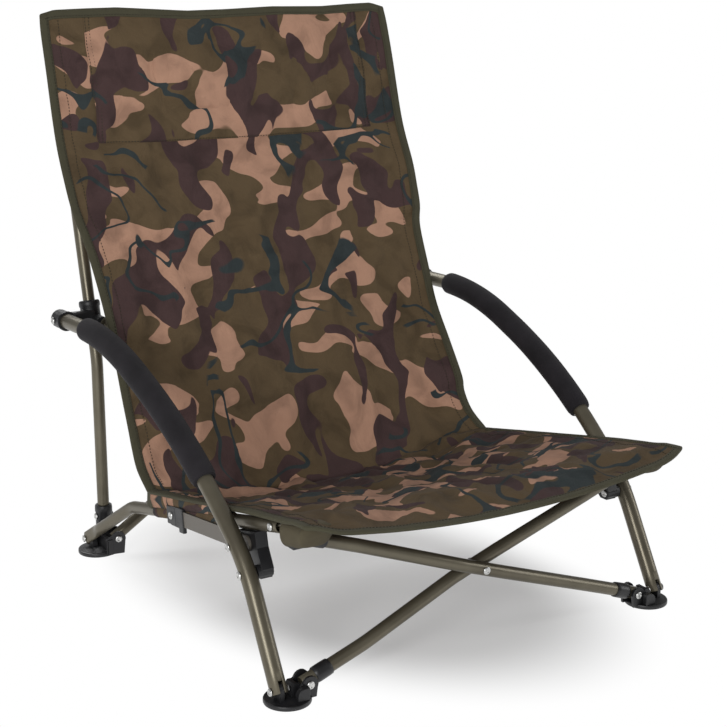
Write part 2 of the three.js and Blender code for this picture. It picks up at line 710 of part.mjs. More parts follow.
// Sliders: a sleeve on the upright, a lug out to the arm and a boss towards the rear cross
const leanUp = V(0, reclineRun, reclineRise).normalize();
const sliderY = uprightY + ((sliderZ - uprightBendZ) * reclineRun) / reclineRise;
const sliderCentre = V(uprightX, sliderY, sliderZ);
function slider(crossY) {
  const from = sliderCentre.clone().addScaledVector(leanUp, -sliderLength / 2);
  const to = sliderCentre.clone().addScaledVector(leanUp, sliderLength / 2);
  const lugFar = armPivot.x - capRadius - gap * 3;
  const lug = cylinder(V(uprightX, armPivotY, armPivotZ), V(lugFar, armPivotY, armPivotZ), sliderBoss);
  const web = sidePlate([
    [sliderY, sliderZ - sliderBoss], [armPivotY, armPivotZ - sliderBoss], [armPivotY, armPivotZ + sliderBoss],
    [sliderY, sliderZ + sliderBoss],
  ], uprightX - sliderWall, uprightX + sliderRadius);
  const bossNear = crossY + rearCrossLean + tubeRadius + runGap + headThick;
  const boss = cylinder(V(rearCrossX, bossNear, rearCrossHighZ), V(rearCrossX, sliderY, rearCrossHighZ), sliderBoss);
  return cut(
    join(cylinder(from, to, sliderRadius), lug, web, boss),
    cylinder(from.clone().addScaledVector(leanUp, -sliderLength), to.clone().addScaledVector(leanUp, sliderLength),
      tubeRadius + runGap),
  );
}
put('slider_left', mirrored(toGeometry(slider(rearCrossYRight))), plasticLook);
put('slider_right', slider(rearCrossY), plasticLook);

// Link bars between the side tubes and the legs
const linkDirection = V(0, boltHighY - linkY, boltHighZ - linkZ).normalize();
const linkUp = V(0, -linkDirection.z, linkDirection.y).multiplyScalar(-1);
const linkNear = sideX + tubeRadius + linkPlaneGap;
const linkFar = linkNear + linkThick;
function slab(from, to, halfFrom, halfTo, x0, x1) {
  const a = from.clone().addScaledVector(linkUp, halfFrom);
  const b = to.clone().addScaledVector(linkUp, halfTo);
  const c = to.clone().addScaledVector(linkUp, -halfTo);
  const d = from.clone().addScaledVector(linkUp, -halfFrom);
  return sidePlate([[a.y, a.z], [b.y, b.z], [c.y, c.z], [d.y, d.z]], x0, x1);
}
const endNear = sideX + tubeRadius + runGap;
const endFar = endNear + linkEndThick;
const barStart = linkPivot.clone().addScaledVector(linkDirection, linkEndLength);
const highPivot = V(sideX, boltHighY, boltHighZ);
const linkBar = join(
  slab(barStart.clone().addScaledVector(linkDirection, gap), highPivot, linkHalf, linkHalf, linkNear, linkFar),
  cylinder(V(linkNear, boltHighY, boltHighZ), V(linkFar, boltHighY, boltHighZ), linkHalf),
);
putPair('link_bar', linkBar, barLook);
const linkEnd = cut(
  join(
    slab(linkPivot, barStart, linkEndHalf - headSink, linkEndHalf, endNear, endFar),
    cylinder(V(endNear, linkY, linkZ), V(endFar, linkY, linkZ), linkEndHalf - headSink),
  ),
  bore(linkPivot, alongX, armRadius + overrun + linkEndThick),
);
putPair('link_end', linkEnd, plasticLook);
putPair('link_rivet', rivet(linkPivot, alongX, -tubeRadius, endFar - sideX), steelLook);

// Leg brackets: under the side tube, bolted to the leg
const sideLineZ = (y) => sideFrontZ - (y - sideFrontY) * sideRise;
const tubeDrop = (tubeRadius + runGap) * Math.hypot(1, sideRise);
const restZ = (y) => sideLineZ(y) - tubeDrop;
const bracketFar = sideX + tubeRadius + linkPlaneGap / 2;
const bracketNear = bracketFar - bracketThick;
const bracketOutline = [
  [boltLowY - bracketBoss, boltLowZ + bracketBoss / 2], [boltLowY - bracketBoss / 2, boltLowZ - bracketBoss],
  [boltLowY + bracketBoss, boltLowZ - bracketBoss], [boltHighY + bracketBoss, boltHighZ - bracketBoss - overrun],
  [boltHighY + bracketReach, restZ(boltHighY + bracketReach) - bracketBoss],
  [boltHighY + bracketReach, restZ(boltHighY + bracketReach)],
  [boltLowY + bracketBoss, restZ(boltLowY + bracketBoss)],
  [boltLowY + bracketBoss / 2, boltHighZ],
];
const bossReach = lowBolt.x - armRadius - gap;
const bracket = cut(
  join(
    sidePlate(bracketOutline, bracketNear, bracketFar),
    cylinder(V(bracketNear, boltLowY, boltLowZ), V(bossReach, boltLowY, boltLowZ), bracketBoss),
  ),
  bore(lowBolt, alongX, armRadius + legX),
);
putPair('leg_bracket', bracket, plasticLook);
putPair('leg_bolt_low', rivet(lowBolt, alongX, bracketNear - lowBolt.x, armRadius), steelLook);
putPair('leg_bolt_high', bolt(highBolt, alongX, headSink - armRadius, armRadius), steelLook);

// Cloth surfaces are a grid of points, thickened to a closed sheet
function sheet(across, along, point, thick, up) {
  const top = [];
  const bottom = [];
  for (let j = 0; j <= along; j += 1) {
    for (let i = 0; i <= across; i += 1) {
      const p = point(i / across, j / along);
      top.push(p.clone().addScaledVector(up, thick / 2));
      bottom.push(p.clone().addScaledVector(up, -thick / 2));
    }
  }
  const all = [...top, ...bottom];
  const shift = top.length;
  const id = (i, j) => j * (across + 1) + i;
  const faces = [];
  const quad = (a, b, c, d) => faces.push(a, b, c, a, c, d);
  for (let j = 0; j < along; j += 1) {
    for (let i = 0; i < across; i += 1) {
      quad(id(i, j), id(i + 1, j), id(i + 1, j + 1), id(i, j + 1));
      quad(id(i, j) + shift, id(i, j + 1) + shift, id(i + 1, j + 1) + shift, id(i + 1, j) + shift);
    }
  }
  for (let i = 0; i < across; i += 1) {
    quad(id(i, 0) + shift, id(i + 1, 0) + shift, id(i + 1, 0), id(i, 0));
    quad(id(i, along), id(i + 1, along), id(i + 1, along) + shift, id(i, along) + shift);
  }
  for (let j = 0; j < along; j += 1) {
    quad(id(0, j), id(0, j + 1), id(0, j + 1) + shift, id(0, j) + shift);
    quad(id(across, j) + shift, id(across, j + 1) + shift, id(across, j + 1), id(across, j));
  }
  const geometry = new THREE.BufferGeometry();
  geometry.setAttribute('position', new THREE.Float32BufferAttribute(all.flatMap((p) => [p.x, p.y, p.z]), 3));
  geometry.setIndex(faces);
  geometry.computeVertexNormals();
  return geometry;
}

function folds(table, u, v, edge) {
  const inside = Math.min(1, (1 - Math.abs(2 * u - 1)) / edge);
  return inside * table.reduce((sum, [a, b, wide, tall, depth]) => (
    sum + depth * Math.exp(-(((u - a) / wide) ** 2) - (((v - b) / tall) ** 2))), 0);
}
const edgeShare = 0.3;

// A value read from a table at a place between its first and its last row
function along(table, place) {
  const i = Math.min(table.length - 2, Math.floor(place));
  return THREE.MathUtils.lerp(table[i], table[i + 1], place - i);
}
function placeOf(table, value) {
  const i = table.findIndex((entry, k) => k > 0 && value >= entry) - 1;
  return i + (value - table[i]) / (table[i + 1] - table[i]);
}

// How far the cloth has come from its side edges to the full sag of its middle
const sagFromShare = 0.04;
function sagShare(u) {
  const inner = THREE.MathUtils.clamp((1 - Math.abs(2 * u - 1) - sagFromShare) / (1 - sagFromShare), 0, 1);
  return 1 - (1 - inner) ** 2;
}

// Seat: from the back of the seat (v = 0) to the front edge (v = 1)
const lipEdgeShare = 0.4;
const lipShare = 0.2;
const midShare = 0.5;
function seatPoint(u, v) {
  const x = seatHalf * (2 * u - 1);
  const y = THREE.MathUtils.lerp(seatRearY, seatFrontY, v);
  const edgeZ = along(seatEdgeHeights, placeOf(seatEdgeDepths, y));
  const towardsMiddle = THREE.MathUtils.smoothstep(v, 0, midShare);
  const towardsFront = THREE.MathUtils.smoothstep(v, midShare, 1);
  const sag = THREE.MathUtils.lerp(THREE.MathUtils.lerp(seatRearSag, seatSag, towardsMiddle), seatFrontSag, towardsFront);
  const lip = frontDrop * THREE.MathUtils.smoothstep(v, 1 - lipShare, 1);
  const drop = lip * THREE.MathUtils.lerp(lipEdgeShare, 1, sagShare(u));
  return V(x, y, edgeZ - sag * sagShare(u) - drop + seatSag * folds(seatFoldShares, u, v, edgeShare));
}
const seatAcross = 16;
const seatAlong = 13;
const seat = sheet(seatAcross, seatAlong, (u, v) => seatPoint(1 - u, v), clothThick, V(0, 0, 1));
put('seat_sling', seat, clothLook);

// Back: from the seat (v = 0) to the top edge (v = 1)
const backSteps = backEdgeHeights.length - 1;
const backAlong = 18;
const joinShare = 0.25;
function backPoint(u, v) {
  const place = v * backSteps;
  const x = along(backEdgeHalves, place) * (2 * u - 1);
  const hollow = backSag * (1 - (2 * u - 1) ** 2) * Math.sin(Math.PI * THREE.MathUtils.clamp(v, 0, 1)) ** 2;
  const y = along(backEdgeDepths, place) + hollow + backSag * folds(backFoldShares, u, v, edgeShare);
  const dip = seatRearSag * sagShare(u) * (1 - THREE.MathUtils.smoothstep(v, 0, joinShare));
  return V(x, y, along(backEdgeHeights, place) - dip);
}
const backAcross = 16;
const backUp = V(0, -reclineRise, reclineRun).normalize();
const back = sheet(backAcross, backAlong, backPoint, clothThick, backUp);
put('back_sling', back, clothLook);

// Padded head panel sewn on the front of the back
const headInset = 1;
const headAcross = backAcross - 2 * headInset;
const headLowRow = 14;
const headHighRow = backAlong - headInset;
function headPoint(u, v) {
  const column = headInset + headAcross * u;
  const row = THREE.MathUtils.lerp(headLowRow, headHighRow, v);
  const p = backPoint(column / backAcross, row / backAlong);
  return p.addScaledVector(backUp, clothThick / 2 + runGap + headrestThick / 2);
}
put('head_panel', sheet(headAcross, headHighRow - headLowRow, headPoint, headrestThick, backUp), clothLook);

// Sleeves at the top of the back, over the ends of the uprights
const topDirection = V(0, uprightTopRun, uprightTopRise).normalize();
const topPoint = V(uprightX, reclineY + uprightTopRun, reclineZ + uprightTopRise);
const sleeveTop = topPoint.clone().addScaledVector(topDirection, gap + clothThick);
const sleeveProfile = [
  [0, 0], [pocketRadius - headSink, 0], [pocketRadius, -headSink], [pocketRadius, -pocketDepth],
  [tubeRadius + gap, -pocketDepth], [tubeRadius + gap, -clothThick], [0, -clothThick],
].map(([r, h]) => new THREE.Vector2(r, h)).reverse();
const sleeve = new THREE.LatheGeometry(sleeveProfile, eyeSides);
sleeve.applyQuaternion(new THREE.Quaternion().setFromUnitVectors(V(0, 1, 0), topDirection));
sleeve.translate(sleeveTop.x, sleeveTop.y, sleeveTop.z);
putPair('back_sleeve', sleeve, trimLook);

// Fabric pockets under the front corners of the seat, in front of the side tubes' ends
const cornerPocketInner = seatHalf - cornerPocketWidth;
const pocketInnerShare = (1 + cornerPocketInner / seatHalf) / 2;
const seatShareAt = (y) => (seatRearY - y) / (seatRearY - seatFrontY);
const pocketUnder = (y) => seatPoint(pocketInnerShare, seatShareAt(y)).z - clothThick / 2 - runGap;
const cornerPocket = sidePlate([
  [cornerPocketRearY, pocketUnder(cornerPocketRearY) - cornerPocketDepth],
  [cornerPocketRearY, pocketUnder(cornerPocketRearY)], [seatFrontY / 2, pocketUnder(seatFrontY / 2)],
  [seatFrontY / 2, pocketUnder(seatFrontY / 2) - cornerPocketDepth / 2],
], cornerPocketInner, seatHalf - clothThick);
putPair('corner_pocket', cornerPocket, trimLook);

// The origin goes to the floor under the middle of the chair's depth
const whole = new THREE.Box3().setFromObject(chair);
const middleY = (whole.min.y + whole.max.y) / 2;
chair.children.forEach((mesh) => mesh.geometry.translate(0, -middleY, 0));

export default chair;
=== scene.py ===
"""Low folding fishing chair: finishes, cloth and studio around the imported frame."""
import json
import math

import bmesh
import bpy
import numpy as np
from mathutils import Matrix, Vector, noise


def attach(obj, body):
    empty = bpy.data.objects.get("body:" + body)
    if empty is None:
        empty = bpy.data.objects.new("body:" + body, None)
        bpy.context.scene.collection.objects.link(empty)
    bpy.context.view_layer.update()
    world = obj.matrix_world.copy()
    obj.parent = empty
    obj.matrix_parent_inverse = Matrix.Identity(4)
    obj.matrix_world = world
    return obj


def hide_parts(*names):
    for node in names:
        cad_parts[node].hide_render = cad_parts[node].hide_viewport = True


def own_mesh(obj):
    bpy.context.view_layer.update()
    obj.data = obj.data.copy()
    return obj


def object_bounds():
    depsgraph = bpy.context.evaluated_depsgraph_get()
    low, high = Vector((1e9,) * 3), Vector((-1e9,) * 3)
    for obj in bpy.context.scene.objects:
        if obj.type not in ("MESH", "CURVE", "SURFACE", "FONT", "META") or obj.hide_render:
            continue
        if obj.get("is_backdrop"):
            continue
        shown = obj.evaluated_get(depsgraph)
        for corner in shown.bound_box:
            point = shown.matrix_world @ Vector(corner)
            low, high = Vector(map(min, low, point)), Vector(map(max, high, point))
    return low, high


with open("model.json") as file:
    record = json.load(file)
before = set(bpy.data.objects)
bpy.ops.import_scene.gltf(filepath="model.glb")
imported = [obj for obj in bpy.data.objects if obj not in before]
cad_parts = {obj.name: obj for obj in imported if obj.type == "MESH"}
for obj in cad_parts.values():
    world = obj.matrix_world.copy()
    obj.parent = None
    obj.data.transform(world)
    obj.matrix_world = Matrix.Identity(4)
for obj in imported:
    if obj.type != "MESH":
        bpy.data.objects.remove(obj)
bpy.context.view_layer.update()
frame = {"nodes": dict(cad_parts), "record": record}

MM = 0.001
# Sizes below are in mm and count y from the middle of the front feet; the frame's origin lies further back
FRONT_Y = -295.83694
AXIS_X = Vector((1, 0, 0))
AXIS_Y = Vector((0, 1, 0))
AXIS_Z = Vector((0, 0, 1))
WHITE = (1, 1, 1, 1)


def at(x, y, z):
    return Vector((x, y + FRONT_Y, z)) * MM


def srgb(r, g, b):
    def lin(c):
        c /= 255
        return c / 12.92 if c <= 0.04045 else ((c + 0.055) / 1.055) ** 2.4
    return (lin(r), lin(g), lin(b), 1)


def toned(colour, share, add=0.0):
    return tuple(min(1, c * share + add) for c in colour[:3]) + (1,)


class Nodes:
    """Writes a shader tree in few lines; inputs are other nodes' outputs or plain values."""

    def __init__(self, owner, out_kind):
        owner.use_nodes = True
        self.owner = owner
        self.tree = owner.node_tree
        self.tree.nodes.clear()
        self.out = self.node(out_kind, {})

    def node(self, kind, inputs, **values):
        node = self.tree.nodes.new(kind)
        for key, value in values.items():
            setattr(node, key, value)
        for slot, value in inputs.items():
            self.feed(node.inputs[slot], value)
        return node

    def feed(self, socket, value):
        if isinstance(value, bpy.types.NodeSocket):
            self.tree.links.new(value, socket)
        else:
            socket.default_value = value

    def add(self, kind, inputs, output, **values):
        """Adds a node and gives back the output of that name or number."""
        return self.node(kind, inputs, **values).outputs[output]

    def coords(self, kind="Object"):
        return self.add("ShaderNodeTexCoord", {}, kind)

    def mapping(self, source, scale=(1, 1, 1), turn=0.0, shift=(0, 0, 0)):
        inputs = {"Vector": source, "Scale": scale, "Rotation": (0, 0, turn), "Location": shift}
        return self.add("ShaderNodeMapping", inputs, "Vector")

    def noise(self, source, scale, detail=2.0, rough=0.5, distort=0.0, output="Fac"):
        inputs = {"Scale": scale, "Detail": detail, "Roughness": rough, "Distortion": distort}
        return self.add("ShaderNodeTexNoise", {"Vector": source, **inputs}, output)

    def bands(self, source, direction, scale, distort):
        inputs = {"Vector": source, "Scale": scale, "Distortion": distort}
        return self.add("ShaderNodeTexWave", inputs, "Fac", wave_type="BANDS", bands_direction=direction)

    def span(self, source, low, high, to_low=0.0, to_high=1.0, curve="LINEAR"):
        inputs = {"Value": source, "From Min": low, "From Max": high, "To Min": to_low, "To Max": to_high}
        return self.add("ShaderNodeMapRange", inputs, "Result", interpolation_type=curve)

    def math(self, kind, a, b=0.0):
        return self.add("ShaderNodeMath", {0: a, 1: b}, "Value", operation=kind)

    def vector(self, kind, inputs, output="Vector"):
        return self.add("ShaderNodeVectorMath", inputs, output, operation=kind)

    def mix(self, factor, a, b):
        return self.add("ShaderNodeMix", {"Factor": factor, 6: a, 7: b}, 2, data_type="RGBA")

    def mix_shaders(self, factor, a, b):
        mixed = self.add("ShaderNodeMixShader", {"Fac": factor, 1: a, 2: b}, "Shader")
        self.feed(self.out.inputs["Surface"], mixed)

    def bump(self, height, strength, distance, before=None):
        inputs = {"Height": height, "Strength": strength, "Distance": distance}
        if before is not None:
            inputs["Normal"] = before
        return self.add("ShaderNodeBump", inputs, "Normal")


class Look(Nodes):
    """A material with one principled shader."""

    def __init__(self, name):
        super().__init__(bpy.data.materials.new(name), "ShaderNodeOutputMaterial")
        self.bsdf = self.node("ShaderNodeBsdfPrincipled", {})
        self.feed(self.out.inputs["Surface"], self.bsdf.outputs["BSDF"])

    def done(self, **inputs):
        """Feeds the shader, its inputs named with _ for a space, and gives back the material."""
        for name, value in inputs.items():
            self.feed(self.bsdf.inputs[name.replace("_", " ")], value)
        return self.owner


def cloudy(name, low, high, clouds, share, rough=None, grain=None, relief=None, swell=None, **inputs):
    """Two like tones in clouds, which the roughness can follow, over a swell and a fine grain."""
    n = Look(name)
    coords = n.coords()
    cloud = n.noise(coords, *clouds)
    inputs["Base_Color"] = n.mix(n.span(cloud, *share), low, high)
    if rough:
        inputs["Roughness"] = n.span(cloud, 0.3, 0.7, *rough)
    below = n.bump(cloud, *swell) if swell else None
    if grain:
        inputs["Normal"] = n.bump(n.noise(coords, *grain), *relief, below)
    return n.done(**inputs)


def tape(name, colour, ribs=420):
    n = Look(name)
    coords = n.coords("UV")
    share = n.span(n.noise(coords, 60, 4), 0.25, 0.8)
    tint = n.mix(share, toned(colour, 0.8), colour)
    rib = n.bump(n.bands(coords, "Y", ribs, 0.4), 0.3, 0.0004)
    return n.done(Base_Color=tint, Normal=rib, Roughness=0.85)


CAMO_BASE = srgb(97, 81, 60)
CAMO_TAN = srgb(184, 143, 120)
CAMO_BROWN = srgb(78, 60, 59)
CAMO_DARK = srgb(56, 63, 64)
POOL_EDGE = (0.560, 0.564)


def camo(name, shade=1.0):
    """Woodland print: pools of tan and purple brown and thin dark branches on olive, in layers."""
    n = Look(name)
    coords = n.coords("UV")
    # The whole print is warped, so its outlines run in bays and tongues
    warp = n.vector("SUBTRACT", {0: n.noise(coords, 12.0, 1.0, 0.5, output="Color"), 1: (0.5, 0.5, 0.5)})
    warped = n.vector("ADD", {0: coords, 1: n.vector("SCALE", {0: warp, "Scale": 0.068})})

    def field(scale, shift, stretch=(1, 1, 1), turn=0.0, detail=0.0, distort=0.0):
        return n.noise(n.mapping(warped, stretch, turn, shift), scale, detail, 0.35, distort)

    tan = n.span(field(16.5, (1.3, 0.4, 0.2), (0.75, 1.3, 1), 0.3, 0.6, 0.4), *POOL_EDGE)
    brown = n.span(field(15.5, (4.7, 2.1, 0.9), (1.25, 0.8, 1), -0.45, 0.8, 0.5), *POOL_EDGE)
    # Branches follow the middle height of one field where a second lets them; its peaks are dark pools
    middle = n.math("SUBTRACT", field(10.5, (7.9, 5.3, 1.7), turn=0.9, detail=1.0, distort=0.9), 0.5)
    branches = n.span(n.math("ABSOLUTE", middle), 0.027, 0.023)
    area = field(9.5, (2.2, 9.1, 3.3))
    branches = n.math("MULTIPLY", branches, n.span(area, 0.484, 0.494))
    dark = n.math("MAXIMUM", branches, n.span(area, 0.82, 0.824))
    print_colour = toned(CAMO_BASE, shade)
    for share, colour in ((tan, CAMO_TAN), (brown, CAMO_BROWN), (dark, CAMO_DARK)):
        print_colour = n.mix(share, print_colour, toned(colour, shade))
    # Printed cloth is a little uneven, and painted shade darkens its creases
    crease = n.noise(coords, 22, 5, 0.5, 0.5)
    stain = n.span(n.noise(coords, 38, 4, 0.6), 0.2, 0.8, 0.93, 1.13)
    # light: the uneven tone times painted shade in the creases
    light = n.math("MULTIPLY", stain, n.span(crease, 0.36, 0.52, 0.74, 1.0))
    shaded = n.add("ShaderNodeHueSaturation", {"Color": print_colour, "Value": light}, "Color")
    # Its threads show as a fine grid
    weave = n.math("ADD", n.bands(coords, "X", 260, 0.6), n.bands(coords, "Y", 260, 0.6))
    fine = n.bump(weave, 0.16, 0.0004)
    return n.done(Base_Color=shaded, Normal=n.bump(crease, 0.85, 0.0075, fine), Roughness=0.9,
                  Sheen_Weight=0.03, Sheen_Roughness=0.5, Specular_IOR_Level=0.15)


PAINT = {"clouds": (14, 3, 0.6), "share": (0.35, 0.7), "grain": (1400, 1), "relief": (0.06, 0.0004)}
TUBE = cloudy("tube_paint", srgb(96, 90, 76), srgb(112, 106, 90), rough=(0.29, 0.41), Metallic=0.55, **PAINT)
BAR = cloudy("bar_paint", srgb(102, 97, 90), srgb(116, 110, 102), rough=(0.40, 0.52), Metallic=0.4, **PAINT)
BLACK = cloudy("black_plastic", srgb(24, 24, 26), toned(srgb(24, 24, 26), 1.5, 0.002), clouds=(60, 3),
               share=(0.3, 0.75), rough=(0.36, 0.50), grain=(2600, 2), relief=(0.12, 0.0003))
FOAM = cloudy("arm_foam", srgb(31, 29, 32), srgb(44, 41, 45), clouds=(26, 3, 0.55), share=(0.3, 0.75),
              grain=(1300, 3, 0.6), relief=(0.35, 0.0005), swell=(0.25, 0.002),
              Roughness=0.92, Sheen_Weight=0.05, Sheen_Roughness=0.5, Specular_IOR_Level=0.25)
ZINC = cloudy("zinc_rivet", srgb(178, 178, 176), srgb(220, 220, 218), clouds=(240, 3), share=(0.3, 0.7),
              rough=(0.22, 0.38), Metallic=0.95)
CAMO = camo("camo_cloth")
# The seat's copy of the print is 16 % darker: painted shade
CAMO_SEAT_PAINTED_SHADE = camo("camo_cloth_seat_painted_shade", 0.84)
CAMO_BACK = camo("camo_cloth_back", 0.55)
TAPE = tape("edge_tape", srgb(74, 71, 52))
THREAD = tape("thread", srgb(62, 56, 42), 900)
OLIVE = tape("corner_cloth", srgb(88, 80, 60), 620)


# Mesh helpers
def obj_from(name, verts, faces, materials, smooth=True, uvs=None):
    mesh = bpy.data.meshes.new(name)
    mesh.from_pydata([tuple(v) for v in verts], [], faces)
    for material in materials:
        mesh.materials.append(material)
    if uvs is not None:
        layer = mesh.uv_layers.new(name="cut")
        for loop in mesh.loops:
            layer.data[loop.index].uv = uvs[loop.vertex_index]
    mesh.validate()
    mesh.update()
    if smooth:
        mesh.polygons.foreach_set("use_smooth", [True] * len(mesh.polygons))
    obj = bpy.data.objects.new(name, mesh)
    bpy.context.scene.collection.objects.link(obj)
    return obj


def closed(obj, sharp=None):
    """Turns all faces of a closed mesh outward; edges over the angle sharp, in degrees, stay hard."""
    bm = bmesh.new()
    bm.from_mesh(obj.data)
    bmesh.ops.recalc_face_normals(bm, faces=bm.faces)
    bm.to_mesh(obj.data)
    bm.free()
    if sharp is not None:
        obj.data.set_sharp_from_angle(angle=math.radians(sharp))
    return obj


def bevelled(obj, width, angle):
    edges = obj.modifiers.new("edges", "BEVEL")
    edges.width = width * MM
    edges.segments = 3
    edges.limit_method = "ANGLE"
    edges.angle_limit = math.radians(angle)
    return edges


def smooth_step(a, b, v):
    t = min(1, max(0, (v - a) / (b - a)))
    return t * t * (3 - 2 * t)


def grid_faces(rows, cols):
    """Faces between the points of a grid that is numbered row by row."""
    corners = [j * cols + i for j in range(rows - 1) for i in range(cols - 1)]
    return [(a, a + 1, a + cols + 1, a + cols) for a in corners]


def ring_faces(starts, sides):
    """Faces between rings of points and over both ends, from the number that each ring starts at."""
    faces = [(a + k, b + k, b + (k + 1) % sides, a + (k + 1) % sides)
             for a, b in zip(starts, starts[1:]) for k in range(sides)]
    low, high = [[start + k for k in range(sides)] for start in (starts[0], starts[-1])]
    return faces + [low, high[::-1]]


def circle(count):
    """Pairs of cosine and sine round a circle."""
    return [(math.cos(2 * math.pi * k / count), math.sin(2 * math.pi * k / count)) for k in range(count)]


def bent_path(points, radii, per_bend=14, step=25):
    """Straight runs joined by quadratic bends, sampled."""
    points = [Vector(p) for p in points]
    result = []
    start = points[0]

    def run(a, b):
        count = max(1, int((b - a).length / step))
        for i in range(count):
            result.append(a.lerp(b, i / count))

    for i in range(1, len(points) - 1):
        before = (points[i] - points[i - 1]).normalized()
        after = (points[i + 1] - points[i]).normalized()
        reach = radii[i - 1] * math.tan(before.angle(after) / 2)
        enter = points[i] - before * reach
        leave = points[i] + after * reach
        run(start, enter)
        for k in range(per_bend):
            t = k / per_bend
            result.append((1 - t) ** 2 * enter + 2 * t * (1 - t) * points[i] + t * t * leave)
        start = leave
    run(start, points[-1])
    result.append(points[-1])
    return result


def sweep(name, path, size, reference, material, sides=32, wall=1.2, depth=14):
    """A tube, hollow for a depth at both ends; size(i, point) gives its radii along reference and across."""
    verts, uvs, rings = [], [], []
    length = 0.0
    end_rings = ((depth, 1), (0.3, 1), (0, 0.7), (0, 0.3))
    end_round = 0.5
    uv_round = 0.06

    def ring(centre, tangent, radii, travel):
        first = (reference - tangent * reference.dot(tangent)).normalized()
        second = tangent.cross(first)
        rings.append(len(verts))
        for k, (c, s) in enumerate(circle(sides)):
            verts.append(at(*(centre + first * (radii[0] * c) + second * (radii[1] * s))))
            uvs.append((k / sides * uv_round, travel * MM))

    last = len(path) - 1
    tangents = [(path[min(i + 1, last)] - path[max(i - 1, 0)]).normalized() for i in range(len(path))]
    for inset, share in end_rings:
        ring(path[0] + tangents[0] * inset, tangents[0], [r - wall * share for r in size(0, path[0])], 0)
    for i, point in enumerate(path):
        if i:
            length += (point - path[i - 1]).length
        inset = {0: end_round, last: -end_round}.get(i, 0)
        ring(point + tangents[i] * inset, tangents[i], size(i, point), length)
    for inset, share in reversed(end_rings):
        radii = [r - wall * share for r in size(last, path[last])]
        ring(path[last] - tangents[last] * inset, tangents[last], radii, length)
    return closed(obj_from(name, verts, ring_faces(rings, sides), [material], uvs=uvs), 50)


def lathe(name, profile, axis, centre, material, sides):
    """A turned piece about an axis through centre, from a profile of (radius, height)."""
    turn = AXIS_Z.rotation_difference(axis.normalized()).to_matrix()
    verts, faces, rows = [], [], []
    for r, h in profile:
        count = 1 if r == 0 else sides
        rows.append((len(verts), count))
        for c, s in circle(count):
            verts.append(at(*(centre + turn @ Vector((r * c, r * s, h)))))
    for (a, na), (b, nb) in zip(rows, rows[1:]):
        for k in range(sides):
            m = (k + 1) % sides
            if na == 1:
                faces.append((a, b + k, b + m))
            elif nb == 1:
                faces.append((a + m, a + k, b))
            else:
                faces.append((a + k, b + k, b + m, a + m))
    return closed(obj_from(name, verts, faces, [material]), 35)


def prism(name, outline, axis, low, high, material, bevel):
    """An outline, as (y, z) for axis x or (x, z) for axis y, made solid and softened at its edges."""
    count = len(outline)

    def spot(p, t):
        return (t, p[0], p[1]) if axis == "x" else (p[0], t, p[1])
    verts = [at(*spot(p, low)) for p in outline] + [at(*spot(p, high)) for p in outline]
    obj = closed(obj_from(name, verts, ring_faces((0, count), count), [material]))
    if bevel:
        bevelled(obj, bevel, 30).harden_normals = True
    return obj


def loft(name, rings, material):
    """A closed skin over rings of points, capped at both ends."""
    verts, uvs = [], []
    count = len(rings[0])
    travel = 0.0
    for j, ring in enumerate(rings):
        if j:
            travel += (Vector(ring[0]) - Vector(rings[j - 1][0])).length
        round_way = 0.0
        for i, p in enumerate(ring):
            if i:
                round_way += (Vector(p) - Vector(ring[i - 1])).length
            verts.append(at(*p))
            uvs.append((round_way * MM, travel * MM))
    faces = ring_faces(range(0, len(verts), count), count)
    return closed(obj_from(name, verts, faces, [material], uvs=uvs))


def cut_with(obj, tool):
    """Cuts a closed tool mesh out of obj for good, and removes the tool."""
    cutter = obj.modifiers.new("slot", "BOOLEAN")
    cutter.operation = "DIFFERENCE"
    cutter.solver = "EXACT"
    cutter.object = tool
    bpy.context.view_layer.update()
    graph = bpy.context.evaluated_depsgraph_get()
    result = bpy.data.meshes.new_from_object(obj.evaluated_get(graph))
    obj.modifiers.remove(cutter)
    obj.data = result
    bpy.data.objects.remove(tool)


def fit(piece, body, node=None):
    """Puts a piece on its body, in the place of any node it stands for."""
    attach(piece, body)
    if node:
        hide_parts(node)


def sided(k, p):
    """A point of the right side, mirrored where k is -1."""
    return Vector((k * p[0], p[1], p[2]))


def side_pair(make):
    for name, k in (("left", -1), ("right", 1)):
        make(name, k)


# Studio, in metres: the camera was solved from the photograph
PICTURE_WIDTH = 727
FOCAL_PIXELS = 1561.19
CAMERA_PLACE = (-1.0178, -1.3775, 0.7843)
CAMERA_TILT, CAMERA_ROLL, CAMERA_TURN = -14.35, 0.05, -31.89
scene = bpy.context.scene
scene.view_settings.view_transform = "Standard"
camera_data = bpy.data.cameras.new("camera")
camera_data.sensor_width = 36
camera_data.lens = FOCAL_PIXELS / PICTURE_WIDTH * camera_data.sensor_width
camera_data.clip_end = 100
camera = bpy.data.objects.new("camera", camera_data)
camera.location = Vector((CAMERA_PLACE[0], CAMERA_PLACE[1] + FRONT_Y * MM, CAMERA_PLACE[2]))
camera.rotation_euler = [math.radians(a) for a in (90 + CAMERA_TILT, CAMERA_ROLL, CAMERA_TURN)]
scene.collection.objects.link(camera)
scene.camera = camera


